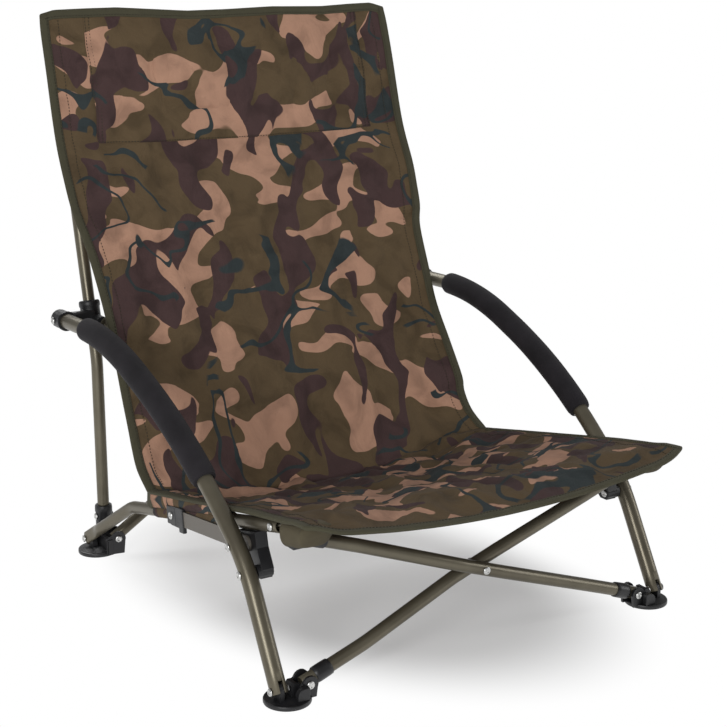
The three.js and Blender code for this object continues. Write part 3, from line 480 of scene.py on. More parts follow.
def make_floor(half=30):
    """A pale floor that turns pure white to the camera outside an ellipse round the chair's shadow; the
    ellipse is painted shadow, for inside it the floor's own shade shows with some white mixed in, wherever
    the chair stands.
    """
    n = Look("floor")
    n.done(Base_Color=(0.86, 0.86, 0.86, 1), Roughness=0.9, Specular_IOR_Level=0.1)
    turned = n.mapping(n.coords(), turn=-0.252, shift=(0.0233, 0.0384, 0))
    distance = n.vector("LENGTH", {0: n.mapping(turned, scale=(1.603, 1, 1))}, "Value")
    # Painted shadow: within this ellipse the floor shows its own shade, with 27.7 % white at the middle,
    # wherever the chair stands
    painted_shadow_mask = n.span(distance, 0.25, 0.45, 0.277, 1.0, "SMOOTHSTEP")
    rays = n.node("ShaderNodeLightPath", {}).outputs
    seen = n.math("MAXIMUM", rays["Is Camera Ray"], rays["Is Glossy Ray"])
    seen = n.math("MAXIMUM", seen, rays["Is Transmission Ray"])
    white = n.add("ShaderNodeEmission", {"Color": WHITE}, "Emission")
    n.mix_shaders(n.math("MULTIPLY", seen, painted_shadow_mask), n.bsdf.outputs["BSDF"], white)
    corners = [(-half, -half, 0), (half, -half, 0), (half, half, 0), (-half, half, 0)]
    obj_from("floor", corners, [(0, 1, 2, 3)], [n.owner], smooth=False)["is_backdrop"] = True


def make_world(light=0.33):
    """Soft light from all round, and white behind the floor."""
    scene.world = bpy.data.worlds.new("studio")
    n = Nodes(scene.world, "ShaderNodeOutputWorld")
    soft_light = n.add("ShaderNodeBackground", {"Color": WHITE, "Strength": light}, "Background")
    white = n.add("ShaderNodeBackground", {"Color": WHITE, "Strength": 1.0}, "Background")
    n.mix_shaders(n.node("ShaderNodeLightPath", {}).outputs["Is Camera Ray"], soft_light, white)


def softbox(name, place, target, size, power):
    data = bpy.data.lights.new(name, "AREA")
    data.shape = "RECTANGLE"
    data.size, data.size_y = size
    data.energy = power
    lamp = bpy.data.objects.new(name, data)
    lamp.location = place
    lamp.rotation_euler = (Vector(target) - Vector(place)).to_track_quat("-Z", "Y").to_euler()
    scene.collection.objects.link(lamp)


make_floor()
make_world()
softbox("top_box", (0.15, 1.75, 1.8), (0.0, -0.05, 0.2), (1.5, 0.9), 24)
softbox("left_box", (-2.0, -1.7, 0.95), (0, 0, 0.35), (0.8, 1.0), 31)
softbox("right_box", (2.2, -1.3, 0.9), (0, 0, 0.35), (0.8, 1.2), 12)

# Frame places: pivots, tube axes and feet, as the solids have them
ARM_R = 10
TUBE_R = 8
LEG_X, SIDE_X, UPRIGHT_X, FOOT_X = 272, 249, 243, 260
FRONT_CROSS_X, REAR_CROSS_X = 237.12, 240
REAR_FOOT_Y = 534
SLIDER_Z = 328
BODY_OF = {node: body for body, nodes in frame["record"]["behaviour"]["bodies"].items() for node in nodes}

# The arm tube runs from its rear end over the armrest to the bend at the shin and down to the foot
ARM_REAR, ARM_TOP, ARM_FRONT = (287, 566, 326), (283.5, 412, 330), (278, 207.7, 254)
SHIN = Vector((LEG_X, 69, 141.5))
LEG = Vector((LEG_X, -2.1, 16.5))
LEG_DOWN = (LEG - SHIN).normalized()
LEG_BEYOND = 4
ARM_BENDS = [400, 700, 200]
SLOT_HALF_WIDTH, SLOT_HALF_DEPTH, SLOT_ABOVE, SLOT_BELOW = 2.8, 14, 9.6, 8
GRIP_START, GRIP_END, GRIP_R, GRIP_WALL = 158, 478, 15.6, 5.2


def steady(radius):
    return lambda i, p: (radius, radius)


def paint(name, node, body, path, size, reference):
    """A painted tube in the place of its solid."""
    fit(sweep(name, path, size, reference, TUBE), body, node)


def make_arm(name, k):
    end = LEG + LEG_DOWN * LEG_BEYOND
    points = [sided(k, p) for p in (ARM_REAR, ARM_TOP, ARM_FRONT, SHIN, end)]
    tube = sweep("arm_tube_paint_" + name, bent_path(points, ARM_BENDS), steady(ARM_R), AXIS_X, TUBE)
    # Slot for the foot's tongue
    side = Vector((0, -LEG_DOWN.z, LEG_DOWN.y)) * SLOT_HALF_DEPTH
    top = LEG - LEG_DOWN * SLOT_ABOVE
    low = LEG + LEG_DOWN * SLOT_BELOW
    outline = [(q.y, q.z) for q in (top + side, top - side, low - side, low + side)]
    left, right = k * LEG_X - SLOT_HALF_WIDTH, k * LEG_X + SLOT_HALF_WIDTH
    cut_with(tube, prism("slot_tool", outline, "x", left, right, TUBE, 0))
    fit(tube, "arm_" + name, "arm_tube_" + name)
    run = [p for p in bent_path(points, ARM_BENDS, 40, 6) if GRIP_START <= p.y <= GRIP_END]

    def grip_size(i, p):
        round_off = {0: 0.9, 1: 0.985}.get(min(i, len(run) - 1 - i), 1.0)
        wave = 1 + 0.012 * noise.noise(Vector((k * 3.1, p.y * 0.02, p.z * 0.02)))
        return (GRIP_R * round_off * wave,) * 2
    foam = sweep("arm_foam_" + name, run, grip_size, AXIS_X, FOAM, sides=40, wall=GRIP_WALL, depth=4)
    fit(foam, "arm_" + name, "arm_grip_" + name)


side_pair(make_arm)

# The side tube runs down from its front pivot, with a flattened rear end, as (y, z)
SIDE_FRONT, SIDE_BEND, SIDE_REAR = (39, 190), (434, 92.5), (547, 17)
SIDE_REAR_X = 272
SIDE_RISE = (SIDE_FRONT[1] - SIDE_BEND[1]) / (SIDE_BEND[0] - SIDE_FRONT[0])
SIDE_BEYOND = 12
FLAT_RUN = 48


def side_line(y):
    return SIDE_FRONT[1] - (y - SIDE_FRONT[0]) * SIDE_RISE


def make_side(name, k):
    way = SIDE_BEYOND / math.hypot(1, SIDE_RISE)
    tip = Vector((k * SIDE_X, SIDE_FRONT[0] - way, SIDE_FRONT[1] + way * SIDE_RISE))
    rear = Vector((k * SIDE_REAR_X, *SIDE_REAR))

    def size(i, p):
        s = smooth_step(0, 0.5, 1 - (p - rear).length / FLAT_RUN)
        return (TUBE_R * (1 - s * 0.68), TUBE_R * (1 + 0.1 * s))
    path = bent_path([rear, (k * SIDE_X, *SIDE_BEND), tip], [60], step=5)
    paint("side_tube_paint_" + name, "side_tube_" + name, "side_" + name, path, size, AXIS_X)


side_pair(make_side)

# The upright bends above its socket and again near its top, as (y, z)
UPRIGHT_LOW, UPRIGHT_BEND, UPRIGHT_LEAN, UPRIGHT_TOP = (551, 36), (551, 265), (637, 625), (641, 702)
UPRIGHT_BENDS = [120, 90]


def make_upright(name, k):
    points = [(k * UPRIGHT_X, *p) for p in (UPRIGHT_LOW, UPRIGHT_BEND, UPRIGHT_LEAN, UPRIGHT_TOP)]
    path = bent_path(points, UPRIGHT_BENDS)
    paint("upright_paint_" + name, "upright_" + name, "rear_" + name, path, steady(TUBE_R), AXIS_X)


side_pair(make_upright)

# Pivots of the cross tubes, as (y, z) in front; the rear ones lean back, each from its own y
FRONT_CROSS_LOW, FRONT_CROSS_HIGH = (0, 18), (10, 185)
REAR_CROSS_STARTS = (("a", -1, 517), ("b", 1, 499.8))
REAR_CROSS_LOW, REAR_CROSS_HIGH, REAR_CROSS_LEAN = 24, 320, 22
CROSS_BEYOND = 5
# Each front cross tube is bent past the other, from offset to offset of its middle
CROSS_OUTER, CROSS_INNER, CROSS_BEND = 170, 34, 160
CROSS_PASS = 8.6
# Black end sleeves over the tube's ends: distance from the pivot and radius
SLEEVE = [(11.5, 9.0), (12.5, 9.5), (16, 9.7), (22, 9.7), (28, 9.6), (32, 9.4), (33, 8.9)]


def cross_path(low, high, shift):
    along = high - low
    length = along.length

    def spot(offset, y):
        p = low + along * (0.5 + offset / length)
        p.y = y
        return p
    end = length / 2 + CROSS_BEYOND
    passing = (low.y + high.y) / 2 + shift
    places = ((-end, low.y), (-CROSS_OUTER, low.y), (-CROSS_INNER, passing), (CROSS_INNER, passing),
              (CROSS_OUTER, high.y), (end, high.y))
    return bent_path([spot(*place) for place in places], [CROSS_BEND] * 4)


for name, k in (("a", -1), ("b", 1)):
    body = "front_cross_" + name
    low = Vector((k * FRONT_CROSS_X, *FRONT_CROSS_LOW))
    high = Vector((-k * FRONT_CROSS_X, *FRONT_CROSS_HIGH))
    path = cross_path(low, high, -k * CROSS_PASS)
    paint("front_cross_paint_" + name, "front_cross_tube_" + name, body, path, steady(TUBE_R), AXIS_Y)
    way = (high - low).normalized()
    for end, place, turn in (("low", low, way), ("high", high, -way)):
        turn = Vector((turn.x, 0, turn.z)).normalized()
        sleeve = sweep(f"cross_sleeve_{name}_{end}", [place + turn * d for d, r in SLEEVE],
                       lambda i, p: (SLEEVE[i][1],) * 2, AXIS_Y, BLACK, wall=0.5, depth=1)
        fit(sleeve, body)
for name, k, y in REAR_CROSS_STARTS:
    low = Vector((k * REAR_CROSS_X, y, REAR_CROSS_LOW))
    high = Vector((-k * REAR_CROSS_X, y + REAR_CROSS_LEAN, REAR_CROSS_HIGH))
    beyond = (high - low).normalized() * CROSS_BEYOND
    paint("rear_cross_paint_" + name, "rear_cross_tube_" + name, "rear_cross_" + name,
          bent_path([low - beyond, high + beyond], []), steady(TUBE_R), AXIS_Y)

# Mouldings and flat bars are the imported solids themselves, with softened edges
KEPT = {"black_plastic": BLACK, "bar_steel": BAR}
slots = {s["node"]: s["material_slot"] for s in frame["record"]["subparts"]}
for node, obj in frame["nodes"].items():
    look = KEPT.get(slots[node])
    if look:
        obj.data.materials.clear()
        obj.data.materials.append(look)
        obj.modifiers.new("weld", "WELD").merge_threshold = 0.02 * MM
        bevelled(obj, 0.9, 35)

# Rivets and bolts: turned heads with a dished middle, in the places of the plain solids
REAR_TURN = math.radians(8.376)
ONE_HEAD = ("arm_bolt", "leg_bolt_high", "front_high_rivet", "rear_cross_rivet")
HEAD_HEIGHT = 1.8


def rivet_axis(node):
    k = -1 if node.endswith("left") else 1
    if node.startswith(("front_low", "front_high", "front_cross", "rear_cross")):
        return Vector((0, -1, 0))
    if node.startswith("rear_low"):
        return Vector((k * math.sin(REAR_TURN), -math.cos(REAR_TURN), 0))
    return Vector((k, 0, 0))


for node, obj in frame["nodes"].items():
    if slots[node] != "zinc_steel":
        continue
    axis = rivet_axis(node)
    points = [(obj.matrix_world @ v.co) / MM for v in obj.data.vertices]
    middle = sum(points, Vector()) / len(points)
    travel = [p.dot(axis) for p in points]
    centre = middle + axis * (0.5 * (max(travel) + min(travel)) - middle.dot(axis)) - Vector((0, FRONT_Y, 0))
    half = 0.5 * (max(travel) - min(travel))
    face = half - HEAD_HEIGHT
    cap = [(2.4, face), (4.7, face), (4.85, face + 0.5), (4.6, face + 1.1), (3.7, face + 1.7),
           (2.5, half + 0.05), (2.0, half - 0.1), (1.5, half - 0.6), (0, half - 0.8)]
    if node.startswith(ONE_HEAD):
        foot = [(0, -half), (2.1, -half), (2.4, -half + 0.3)]
    else:
        foot = [(r, -h) for r, h in reversed(cap)]
    fit(lathe("head_" + node, foot + cap, axis, centre, ZINC, sides=28), BODY_OF[node], node)

# Smooth turned skins over the round parts of the mouldings: profiles of radius and height
DISC = [(0, 0), (25.6, 0), (26.8, 0.5), (27.15, 1.4), (27.15, 4.4), (26.7, 5.3), (25.6, 5.75), (23.5, 5.9),
        (22.8, 5.5), (21.6, 5.5), (21.0, 6.15), (13.5, 7.4), (12.6, 7.75), (0, 7.75)]
SOCKET = [(9.2, 8), (11.3, 8), (11.35, 50), (11.9, 51), (11.9, 57), (11.3, 59.6), (10.4, 60.3),
          (8.2, 60.3), (8.2, 50)]
SLIDER_UPPER = [(13.3, 8.4), (14.2, 10), (14.2, 14.5), (13.6, 16.4), (12.2, 17.5), (8.6, 17.4)]
SLIDER = [(r, -h) for r, h in reversed(SLIDER_UPPER)] + SLIDER_UPPER
CAP_RING = [(10.2, -1), (12.9, -1), (13.3, 0), (13.3, 2.4), (12.9, 3.4), (10.2, 3.4)]
CAP_PLACE, CAP_WAY = (286.45, 541.5, 326.6), (3.5, 154, -4)
# The rounded stop in front of a front foot's hub, as (x, z) on the right
STOP = [(242.5, 5.5), (257.5, 5.5), (257.5, 11), (256.6, 15), (254, 18.2), (250.5, 20), (242.5, 20)]
STOP_FRONT, STOP_REAR = -21, -13
# The link bar in side view, from its pivot on the side tube to the bolt at the leg
LINK_PIVOT, LINK_FRONT = Vector((0, 287, 128)), Vector((0, 91, 154.5))
LINK_INNER = 257.4
# What holds the flat bar in the link's black end: start and end along it, half height, outer x and drop
LINK_HOLDS = (("link_clip_", 22, 35, 13.6, 262.4, 4), ("link_block_", -12, 13, 11.5, 261.8, 0))


def make_mouldings(name, k):
    def skin(label, body, profile, axis, centre, sides=40):
        fit(lathe(label + name, profile, axis, centre, BLACK, sides), body + name)

    skin("foot_skin_front_", "foot_front_", DISC, AXIS_Z, Vector((k * FOOT_X, 0, 0)), 56)
    skin("foot_skin_rear_", "rear_", DISC, AXIS_Z, Vector((k * FOOT_X, REAR_FOOT_Y, 0)), 56)
    skin("socket_skin_", "rear_", SOCKET, AXIS_Z, Vector((k * UPRIGHT_X, UPRIGHT_LOW[0], 0)))
    lean = Vector((0, UPRIGHT_LEAN[0] - UPRIGHT_BEND[0], UPRIGHT_LEAN[1] - UPRIGHT_BEND[1]))
    slider_y = UPRIGHT_BEND[0] + (SLIDER_Z - UPRIGHT_BEND[1]) * lean.y / lean.z
    skin("slider_skin_", "slider_", SLIDER, lean, Vector((k * UPRIGHT_X, slider_y, SLIDER_Z)))
    skin("cap_ring_", "arm_", CAP_RING, sided(k, CAP_WAY), sided(k, CAP_PLACE))
    stop = prism("foot_stop_" + name, [(k * x, z) for x, z in STOP], "y", STOP_FRONT, STOP_REAR, BLACK, 1.0)
    fit(stop, "foot_front_" + name)
    along = (LINK_FRONT - LINK_PIVOT).normalized()
    up = Vector((0, along.z, -along.y))
    for label, start, end, half, reach, drop in LINK_HOLDS:
        sides = ((start, half), (end, half), (end, -half - drop), (start, -half - drop))
        corners = [LINK_PIVOT + along * a + up * b for a, b in sides]
        part = prism(label + name, [(c.y, c.z) for c in corners], "x", k * LINK_INNER, k * reach, BLACK, 1.2)
        fit(part, "link_" + name)


side_pair(make_mouldings)

# Cloth: the seat and the back hang as one piece between pinned edges, and are parted at the bend
# Side edges: the seat's as (y, z), the back's as (y, z, half width)
SEAT_EDGE = [(-60, 214), (-20, 213), (66, 198), (189, 173), (350, 140)]
BACK_EDGE = [(350.5, 140.3, 262.5), (384, 160, 261), (401.5, 185, 259.5), (408, 205, 260),
             (434.5, 250, 257.5), (467, 305, 254), (489.5, 354, 255), (518, 410, 258.5), (528, 440, 264.5),
             (544, 470, 269), (558, 500, 271), (587, 559, 271), (611.5, 645, 270), (627.7, 700, 269),
             (634.7, 727, 267)]
# The top edge's height, from side to side
TOP_WAVE = ([-1, -0.93, -0.8, -0.6, -0.4, -0.2, 0, 0.3, 0.6, 0.8, 0.92, 1],
            [-7, -2, -1, 0, -3, -6, -5, -2, -3, 0, 1, -5])
SEAT_HALF = 262.5
SEAT_LENGTH = 425
FRONT_EDGE, BEND_Y = -61, 350
CORNER_RUN, CORNER_CUT, CORNER_LIFT = 42, 13, 4.5
REAR_SAG, MIDDLE_SAG, FRONT_SAG, FRONT_LIP = 28, 18, 9, 16
BACK_HOLLOW = 20
# Columns across, and rows of the seat and of the back
NU, N_SEAT, N_BACK = 92, 76, 112
ROWS = N_SEAT + N_BACK + 1
UV_WIDTH = 0.54
# Just inside the last row and column
LAST_ROW, LAST_COL = ROWS - 1.001, NU - 0.001


def curve_at(table, t):
    """A smooth curve through the points of a table."""
    place = t * (len(table) - 1)
    i = min(int(place), len(table) - 2)
    f = place - i
    p0, p1, p2, p3 = (np.array(table[min(max(i + n, 0), len(table) - 1)], float) for n in (-1, 0, 1, 2))
    return 0.5 * ((2 * p1) + (p2 - p0) * f + (2 * p0 - 5 * p1 + 4 * p2 - p3) * f * f
                  + (3 * p1 - p0 - 3 * p2 + p3) * f ** 3)


def even_places(table, count):
    """Places along a table's curve that are equally far apart, and its length."""
    fine = np.linspace(0, 1, 800)
    spots = np.array([curve_at(table, t)[:2] for t in fine])
    travel = np.concatenate([[0], np.cumsum(np.linalg.norm(np.diff(spots, axis=0), axis=1))])
    return np.interp(np.linspace(0, travel[-1], count + 1), travel, fine), travel[-1]


def sag_share(u):
    """How far the cloth sags across its width: nothing at the side edges, all in the middle."""
    inner = min(1, max(0, (1 - abs(2 * u - 1) - 0.04) / 0.96))
    return 1 - (1 - inner) ** 2


def seat_point(u, v):
    """v runs from the front edge to the bend."""
    a = 2 * u - 1
    corner = max(0, 1 - (1 - abs(a)) * SEAT_HALF / CORNER_RUN)
    front = FRONT_EDGE + CORNER_CUT * corner ** 2.6
    y = front + (BEND_Y - front) * v
    edge = np.interp(y, *zip(*SEAT_EDGE))
    back = 1 - v
    sag = REAR_SAG + (MIDDLE_SAG - REAR_SAG) * smooth_step(0, 0.5, back)
    sag += (FRONT_SAG - sag) * smooth_step(0.5, 1, back)
    lip = FRONT_LIP * smooth_step(0.8, 1, back) * (0.08 + 0.92 * sag_share(u))
    upturn = CORNER_LIFT * smooth_step(0.86, 1, back) * smooth_step(0.82, 1, abs(a))
    return (SEAT_HALF * a, y, edge - sag * sag_share(u) - lip + upturn)


def back_point(u, v):
    """v runs from the bend to the top edge."""
    y, z, half = curve_at(BACK_EDGE, v)
    a = 2 * u - 1
    hollow = BACK_HOLLOW * (1 - a * a) * math.sin(math.pi * v) ** 2
    dip = REAR_SAG * sag_share(u) * (1 - smooth_step(0, 0.25, v))
    rise = np.interp(a, *TOP_WAVE) * smooth_step(0.9, 1, v)
    return (half * a, y + hollow, z - dip + rise)


def folds(u, j):
    """Height of the wrinkles at column share u and row j."""
    wave = noise.noise(Vector((u * 12, j * 0.07, 3.3))) * 8.0
    wave += noise.noise(Vector((u * 28, j * 0.16, 8.1))) * 4.2
    # Sharp ridges
    wave += 4.2 * (1 - 2 * abs(noise.noise(Vector((u * 9 + j * 0.05, j * 0.07 - u * 3, 1.4)))))
    # Folds across the seat, near the bend
    near = math.exp(-((N_SEAT - j) / 14) ** 2) if j <= N_SEAT else 0
    ripple = math.sin((N_SEAT - j) * 1.15 + 1.4 * math.sin(u * 9))
    wave += 4.6 * near * ripple * (0.5 + 0.5 * math.sin(u * 7 + 1))
    # Pleats that fan out from the two ends of the bend
    for side in (0, 1):
        du = abs(u - side) * 530
        dv = (j - N_SEAT) * 5.8
        fade = math.exp(-((math.hypot(du, dv) - 70) / 70) ** 2)
        wave += 6.0 * fade * math.sin(math.atan2(dv, du) * 9 + 1.7 * side)
    return wave


BACK_V, BACK_LENGTH = even_places(BACK_EDGE, N_BACK)


def rest_grid():
    """The cloth before it settles: height is added upward on the seat and to the rear on the back."""
    grid = np.zeros((ROWS, NU + 1, 3))
    for j in range(ROWS):
        for i in range(NU + 1):
            u = i / NU
            on_seat = j <= N_SEAT
            grid[j, i] = seat_point(u, j / N_SEAT) if on_seat else back_point(u, BACK_V[j - N_SEAT])
            inside = min(1, min(i, NU - i) / 10) * min(1, j / 8) * min(1, (ROWS - 1 - j) / 8)
            grid[j, i, 2 if on_seat else 1] += folds(u, j) * inside
    return grid


def grid_mesh(name, grid, lengths, materials):
    rows, cols = grid.shape[:2]
    verts = [at(*grid[j, i]) for j in range(rows) for i in range(cols)]
    uvs = [(i / (cols - 1) * UV_WIDTH, lengths[j] * MM) for j in range(rows) for i in range(cols)]
    return obj_from(name, verts, grid_faces(rows, cols), materials, uvs=uvs)


SETTLE_FRAMES = 26
SETTLE_CAP = 14
CLOTH_SETTINGS = {"quality": 6, "mass": 0.00004, "tension_stiffness": 30, "compression_stiffness": 12,
                  "shear_stiffness": 10, "bending_stiffness": 0.15, "air_damping": 2, "shrink_min": -0.006}


def hang(grid):
    """Lets the cloth settle under its weight between pinned edges, no further than a cap."""
    piece = grid_mesh("cloth_trial", grid, [0] * len(grid), [CAMO])
    pins = piece.vertex_groups.new(name="pins")
    cols = NU + 1
    held = [j * cols + i for j in range(ROWS) for i in range(cols)
            if i < 3 or i > NU - 3 or j < 3 or j > ROWS - 4]
    pins.add(held, 1.0, "REPLACE")
    cloth = piece.modifiers.new("cloth", "CLOTH")
    for key, value in CLOTH_SETTINGS.items():
        setattr(cloth.settings, key, value)
    cloth.settings.vertex_group_mass = "pins"
    cloth.collision_settings.use_collision = False
    cloth.point_cache.frame_start = 1
    cloth.point_cache.frame_end = SETTLE_FRAMES
    for number in range(1, SETTLE_FRAMES + 1):
        scene.frame_set(number)
    graph = bpy.context.evaluated_depsgraph_get()
    flat = piece.evaluated_get(graph).to_mesh()
    spots = np.array([v.co for v in flat.vertices]) / MM - np.array([0, FRONT_Y, 0])
    piece.evaluated_get(graph).to_mesh_clear()
    scene.frame_set(1)
    bpy.data.objects.remove(piece)
    moved = spots.reshape(grid.shape) - grid
    far = np.linalg.norm(moved, axis=2, keepdims=True)
    moved *= np.minimum(1, SETTLE_CAP / np.maximum(far, 1e-6))
    print("cloth settled, most", round(float(far.max()), 1), "mean", round(float(far.mean()), 2))
    return grid + moved


REST = rest_grid()
CLOTH = hang(REST)
LENGTHS = [j / N_SEAT * SEAT_LENGTH for j in range(N_SEAT + 1)]
LENGTHS += [SEAT_LENGTH + j / N_BACK * BACK_LENGTH for j in range(1, N_BACK + 1)]


def surface(row, col):
    """A point of the cloth and its outward normal, between the grid's lines."""
    j = min(int(row), ROWS - 2)
    i = min(int(col), NU - 1)
    s, t = row - j, col - i
    a, b, c, d = CLOTH[j, i], CLOTH[j, i + 1], CLOTH[j + 1, i + 1], CLOTH[j + 1, i]
    p = a * (1 - s) * (1 - t) + b * (1 - s) * t + c * s * t + d * s * (1 - t)
    normal = np.cross(b + c - a - d, c + d - a - b)
    return Vector(p), Vector(normal).normalized()


def thicken(piece, thickness):
    thick = piece.modifiers.new("thick", "SOLIDIFY")
    thick.thickness = thickness * MM
    return thick


seat = grid_mesh("seat_cloth", CLOTH[:N_SEAT + 1], LENGTHS[:N_SEAT + 1], [CAMO_SEAT_PAINTED_SHADE, CAMO_BACK])
back = grid_mesh("back_cloth", CLOTH[N_SEAT:], LENGTHS[N_SEAT:], [CAMO, CAMO_BACK])
for piece in (seat, back):
    thick = thicken(piece, 1.1)
    thick.offset = -1
    thick.material_offset = 1
fit(back, "back_cloth", "back_sling")
fit(seat, "side_left", "seat_sling")
SOFT = {"seat": [seat], "back": [back]}
SOFT_BODY = {"seat": "side_left", "back": "back_cloth"}


def soft(piece, place):
    """Trim that rides with the seat or the back, and is listed with its pieces."""
    fit(piece, SOFT_BODY[place])
    SOFT[place].append(piece)


# A tape folded over an edge: its section as (inward, outward)
TAPE_WIDTH = 11.0
TAPE_SECTION = [(-1.3, -0.5), (-0.9, 1.0), (0.6, 1.8), (TAPE_WIDTH * 0.5, 1.75), (TAPE_WIDTH - 0.9, 1.6),
                (TAPE_WIDTH, 0.7), (TAPE_WIDTH, -1.8), (TAPE_WIDTH - 0.9, -2.6), (TAPE_WIDTH * 0.5, -2.8),
                (0.6, -2.7), (-0.9, -2.0)]


def binding(name, place, spots):
    """A folded tape over an edge; spots are pairs of (row, column), on the edge and inward of it."""
    rings = []
    for edge_spot, inner_spot in spots:
        edge, normal = surface(*edge_spot)
        way = (surface(*inner_spot)[0] - edge).normalized()
        rings.append([edge + way * a + normal * b for a, b in TAPE_SECTION])
    piece = loft(name, rings, TAPE)
    piece.data.set_sharp_from_angle(angle=math.radians(75))
    soft(piece, place)


STITCH_PITCH, STITCH_LENGTH, STITCH_R, STITCH_SINK = 4.3, 3.0, 0.5, 0.2


def stitches(name, place, rows, cols, lift):
    """A row of stitches over rows and columns of the cloth, each a small spindle half sunk."""
    verts, faces, points, normals = [], [], [], []
    for row, col in zip(rows, cols):
        p, n = surface(row, col)
        points.append(p + n * lift)
        normals.append(n)
    travel = [0.0]
    for a, b in zip(points, points[1:]):
        travel.append(travel[-1] + (b - a).length)
    at_length = 0.5 * STITCH_PITCH
    k = 0
    while at_length < travel[-1] - 0.5 * STITCH_PITCH:
        while travel[k + 1] < at_length:
            k += 1
        share = (at_length - travel[k]) / max(1e-6, travel[k + 1] - travel[k])
        p = points[k].lerp(points[k + 1], share)
        way = (points[k + 1] - points[k]).normalized()
        normal = normals[k]
        side = way.cross(normal).normalized()
        first = len(verts)
        verts.append(at(*(p - way * STITCH_LENGTH / 2 - normal * STITCH_SINK)))
        for d in (-0.3, 0.3):
            for a, b in ((1, 0), (0, 1), (-1, 0), (0, -1)):
                lifted = normal * (STITCH_R * b + STITCH_R / 2)
                verts.append(at(*(p + way * STITCH_LENGTH * d + side * STITCH_R * a + lifted)))
        verts.append(at(*(p + way * STITCH_LENGTH / 2 - normal * STITCH_SINK)))
        for i in range(4):
            m = (i + 1) % 4
            faces.append((first, first + 1 + m, first + 1 + i))
            faces.append((first + 1 + i, first + 1 + m, first + 5 + m, first + 5 + i))
            faces.append((first + 5 + i, first + 5 + m, first + 9))
        at_length += STITCH_PITCH
    soft(closed(obj_from(name, verts, faces, [THREAD])), place)


# Tapes and seams along the side edges: distances of the stitches from the edge, and their lift
TAPE_SEAM, HEM_SEAM = 8.6, 23
TAPE_LIFT, HEM_LIFT, PAD_LIFT = 1.75, 0.15, 0.8
# Columns to a millimetre of cloth
COL = NU / 527
for label, col, sign in (("left", 0, 1), ("right", NU, -1)):
    for place, first, last in (("seat", 0, N_SEAT), ("back", N_SEAT, ROWS - 1)):
        spots = [((min(row, LAST_ROW), min(col, LAST_COL)), (min(row, LAST_ROW), col + sign * 2))
                 for row in range(first, last + 1)]
        binding(f"binding_{place}_{label}", place, spots)
        rows = np.linspace(first, min(last, ROWS - 1.01), 4 * (last - first))
        for seam, inset, lift in (("tape", TAPE_SEAM, TAPE_LIFT), ("hem", HEM_SEAM, HEM_LIFT)):
            cols = np.full(len(rows), col + sign * inset * COL)
            stitches(f"stitch_{seam}_{place}_{label}", place, rows, cols, lift)
# Tapes along the front and the top edge: rows of the edge, of a place inward of it and of the seam
END_TAPES = (("front", "seat", 0, 2, 1.45), ("top", "back", LAST_ROW, ROWS - 3, LAST_ROW - 1.45))
for label, place, row, inner_row, seam_row in END_TAPES:
    spots = [((row, col), (inner_row, col)) for col in np.linspace(0, LAST_COL, NU + 1)]
    binding("binding_" + label, place, spots)
    cols = np.linspace(0.8, NU - 0.8, 3 * NU)
    stitches("stitch_tape_" + label, place, np.full(len(cols), seam_row), cols, TAPE_LIFT)

# Padded head panel, sewn to the front of the back: its sides as shares of the width, its heights in mm
PAD_LEFT, PAD_RIGHT = NU * 0.112, NU * 0.905
PAD_BOTTOM, PAD_TOP = 552, 714
PAD_DIP = 0.8
PAD_CROWN, PAD_QUILT = 7.5, 1.5
PAD_NU, PAD_NV = 84, 34
# The pad's print is cut from another part of the cloth
PAD_PRINT = (0.31, 0.17)


def row_at_height(z):
    heights = CLOTH[N_SEAT:, 0, 2]
    return N_SEAT + float(np.interp(z, heights, np.arange(len(heights))))


PAD_LOW, PAD_HIGH = row_at_height(PAD_BOTTOM), row_at_height(PAD_TOP)


def pad_height(s, t):
    rim = smooth_step(0, 1, min(1, min(s, 1 - s) / 0.05) * min(1, min(t, 1 - t) / 0.12))
    crown = (max(0, math.sin(math.pi * s)) ** 0.35) * (max(0, math.sin(math.pi * t)) ** 0.6)
    quilt = 0.9 * noise.noise(Vector((s * 11, t * 4, 5.2))) + 0.6 * noise.noise(Vector((s * 26, t * 9, 1.1)))
    return max(0.5, 0.5 + (PAD_CROWN * crown + PAD_QUILT * quilt) * rim)


def make_pad():
    front, rear, uvs = [], [], []
    cols = PAD_NU + 1
    for j in range(PAD_NV + 1):
        t = j / PAD_NV
        for i in range(cols):
            s = i / PAD_NU
            col = PAD_LEFT + (PAD_RIGHT - PAD_LEFT) * s
            low_row = PAD_LOW - PAD_DIP * math.sin(math.pi * s)
            p, n = surface(min(low_row + (PAD_HIGH - low_row) * t, ROWS - 1.01), col)
            front.append(p + n * pad_height(s, t))
            rear.append(p + n * 0.25)
            uvs.append((col / NU * UV_WIDTH + PAD_PRINT[0],
                        (SEAT_LENGTH + BACK_LENGTH * (0.74 + 0.26 * t)) * MM + PAD_PRINT[1]))
    shift = len(front)
    faces = grid_faces(PAD_NV + 1, cols)
    faces += [(shift + a, shift + d, shift + c, shift + b) for a, b, c, d in faces]
    border = list(range(PAD_NU)) + [j * cols + PAD_NU for j in range(PAD_NV)]
    border += [PAD_NV * cols + i for i in range(PAD_NU, 0, -1)] + [j * cols for j in range(PAD_NV, 0, -1)]
    for a, b in zip(border, border[1:] + border[:1]):
        faces.append((b, a, a + shift, b + shift))
    verts = [at(*p) for p in front + rear]
    pad = closed(obj_from("head_pad", verts, faces, [CAMO], uvs=uvs * 2))
    fit(pad, "back_cloth", "head_panel")
    SOFT["back"].append(pad)


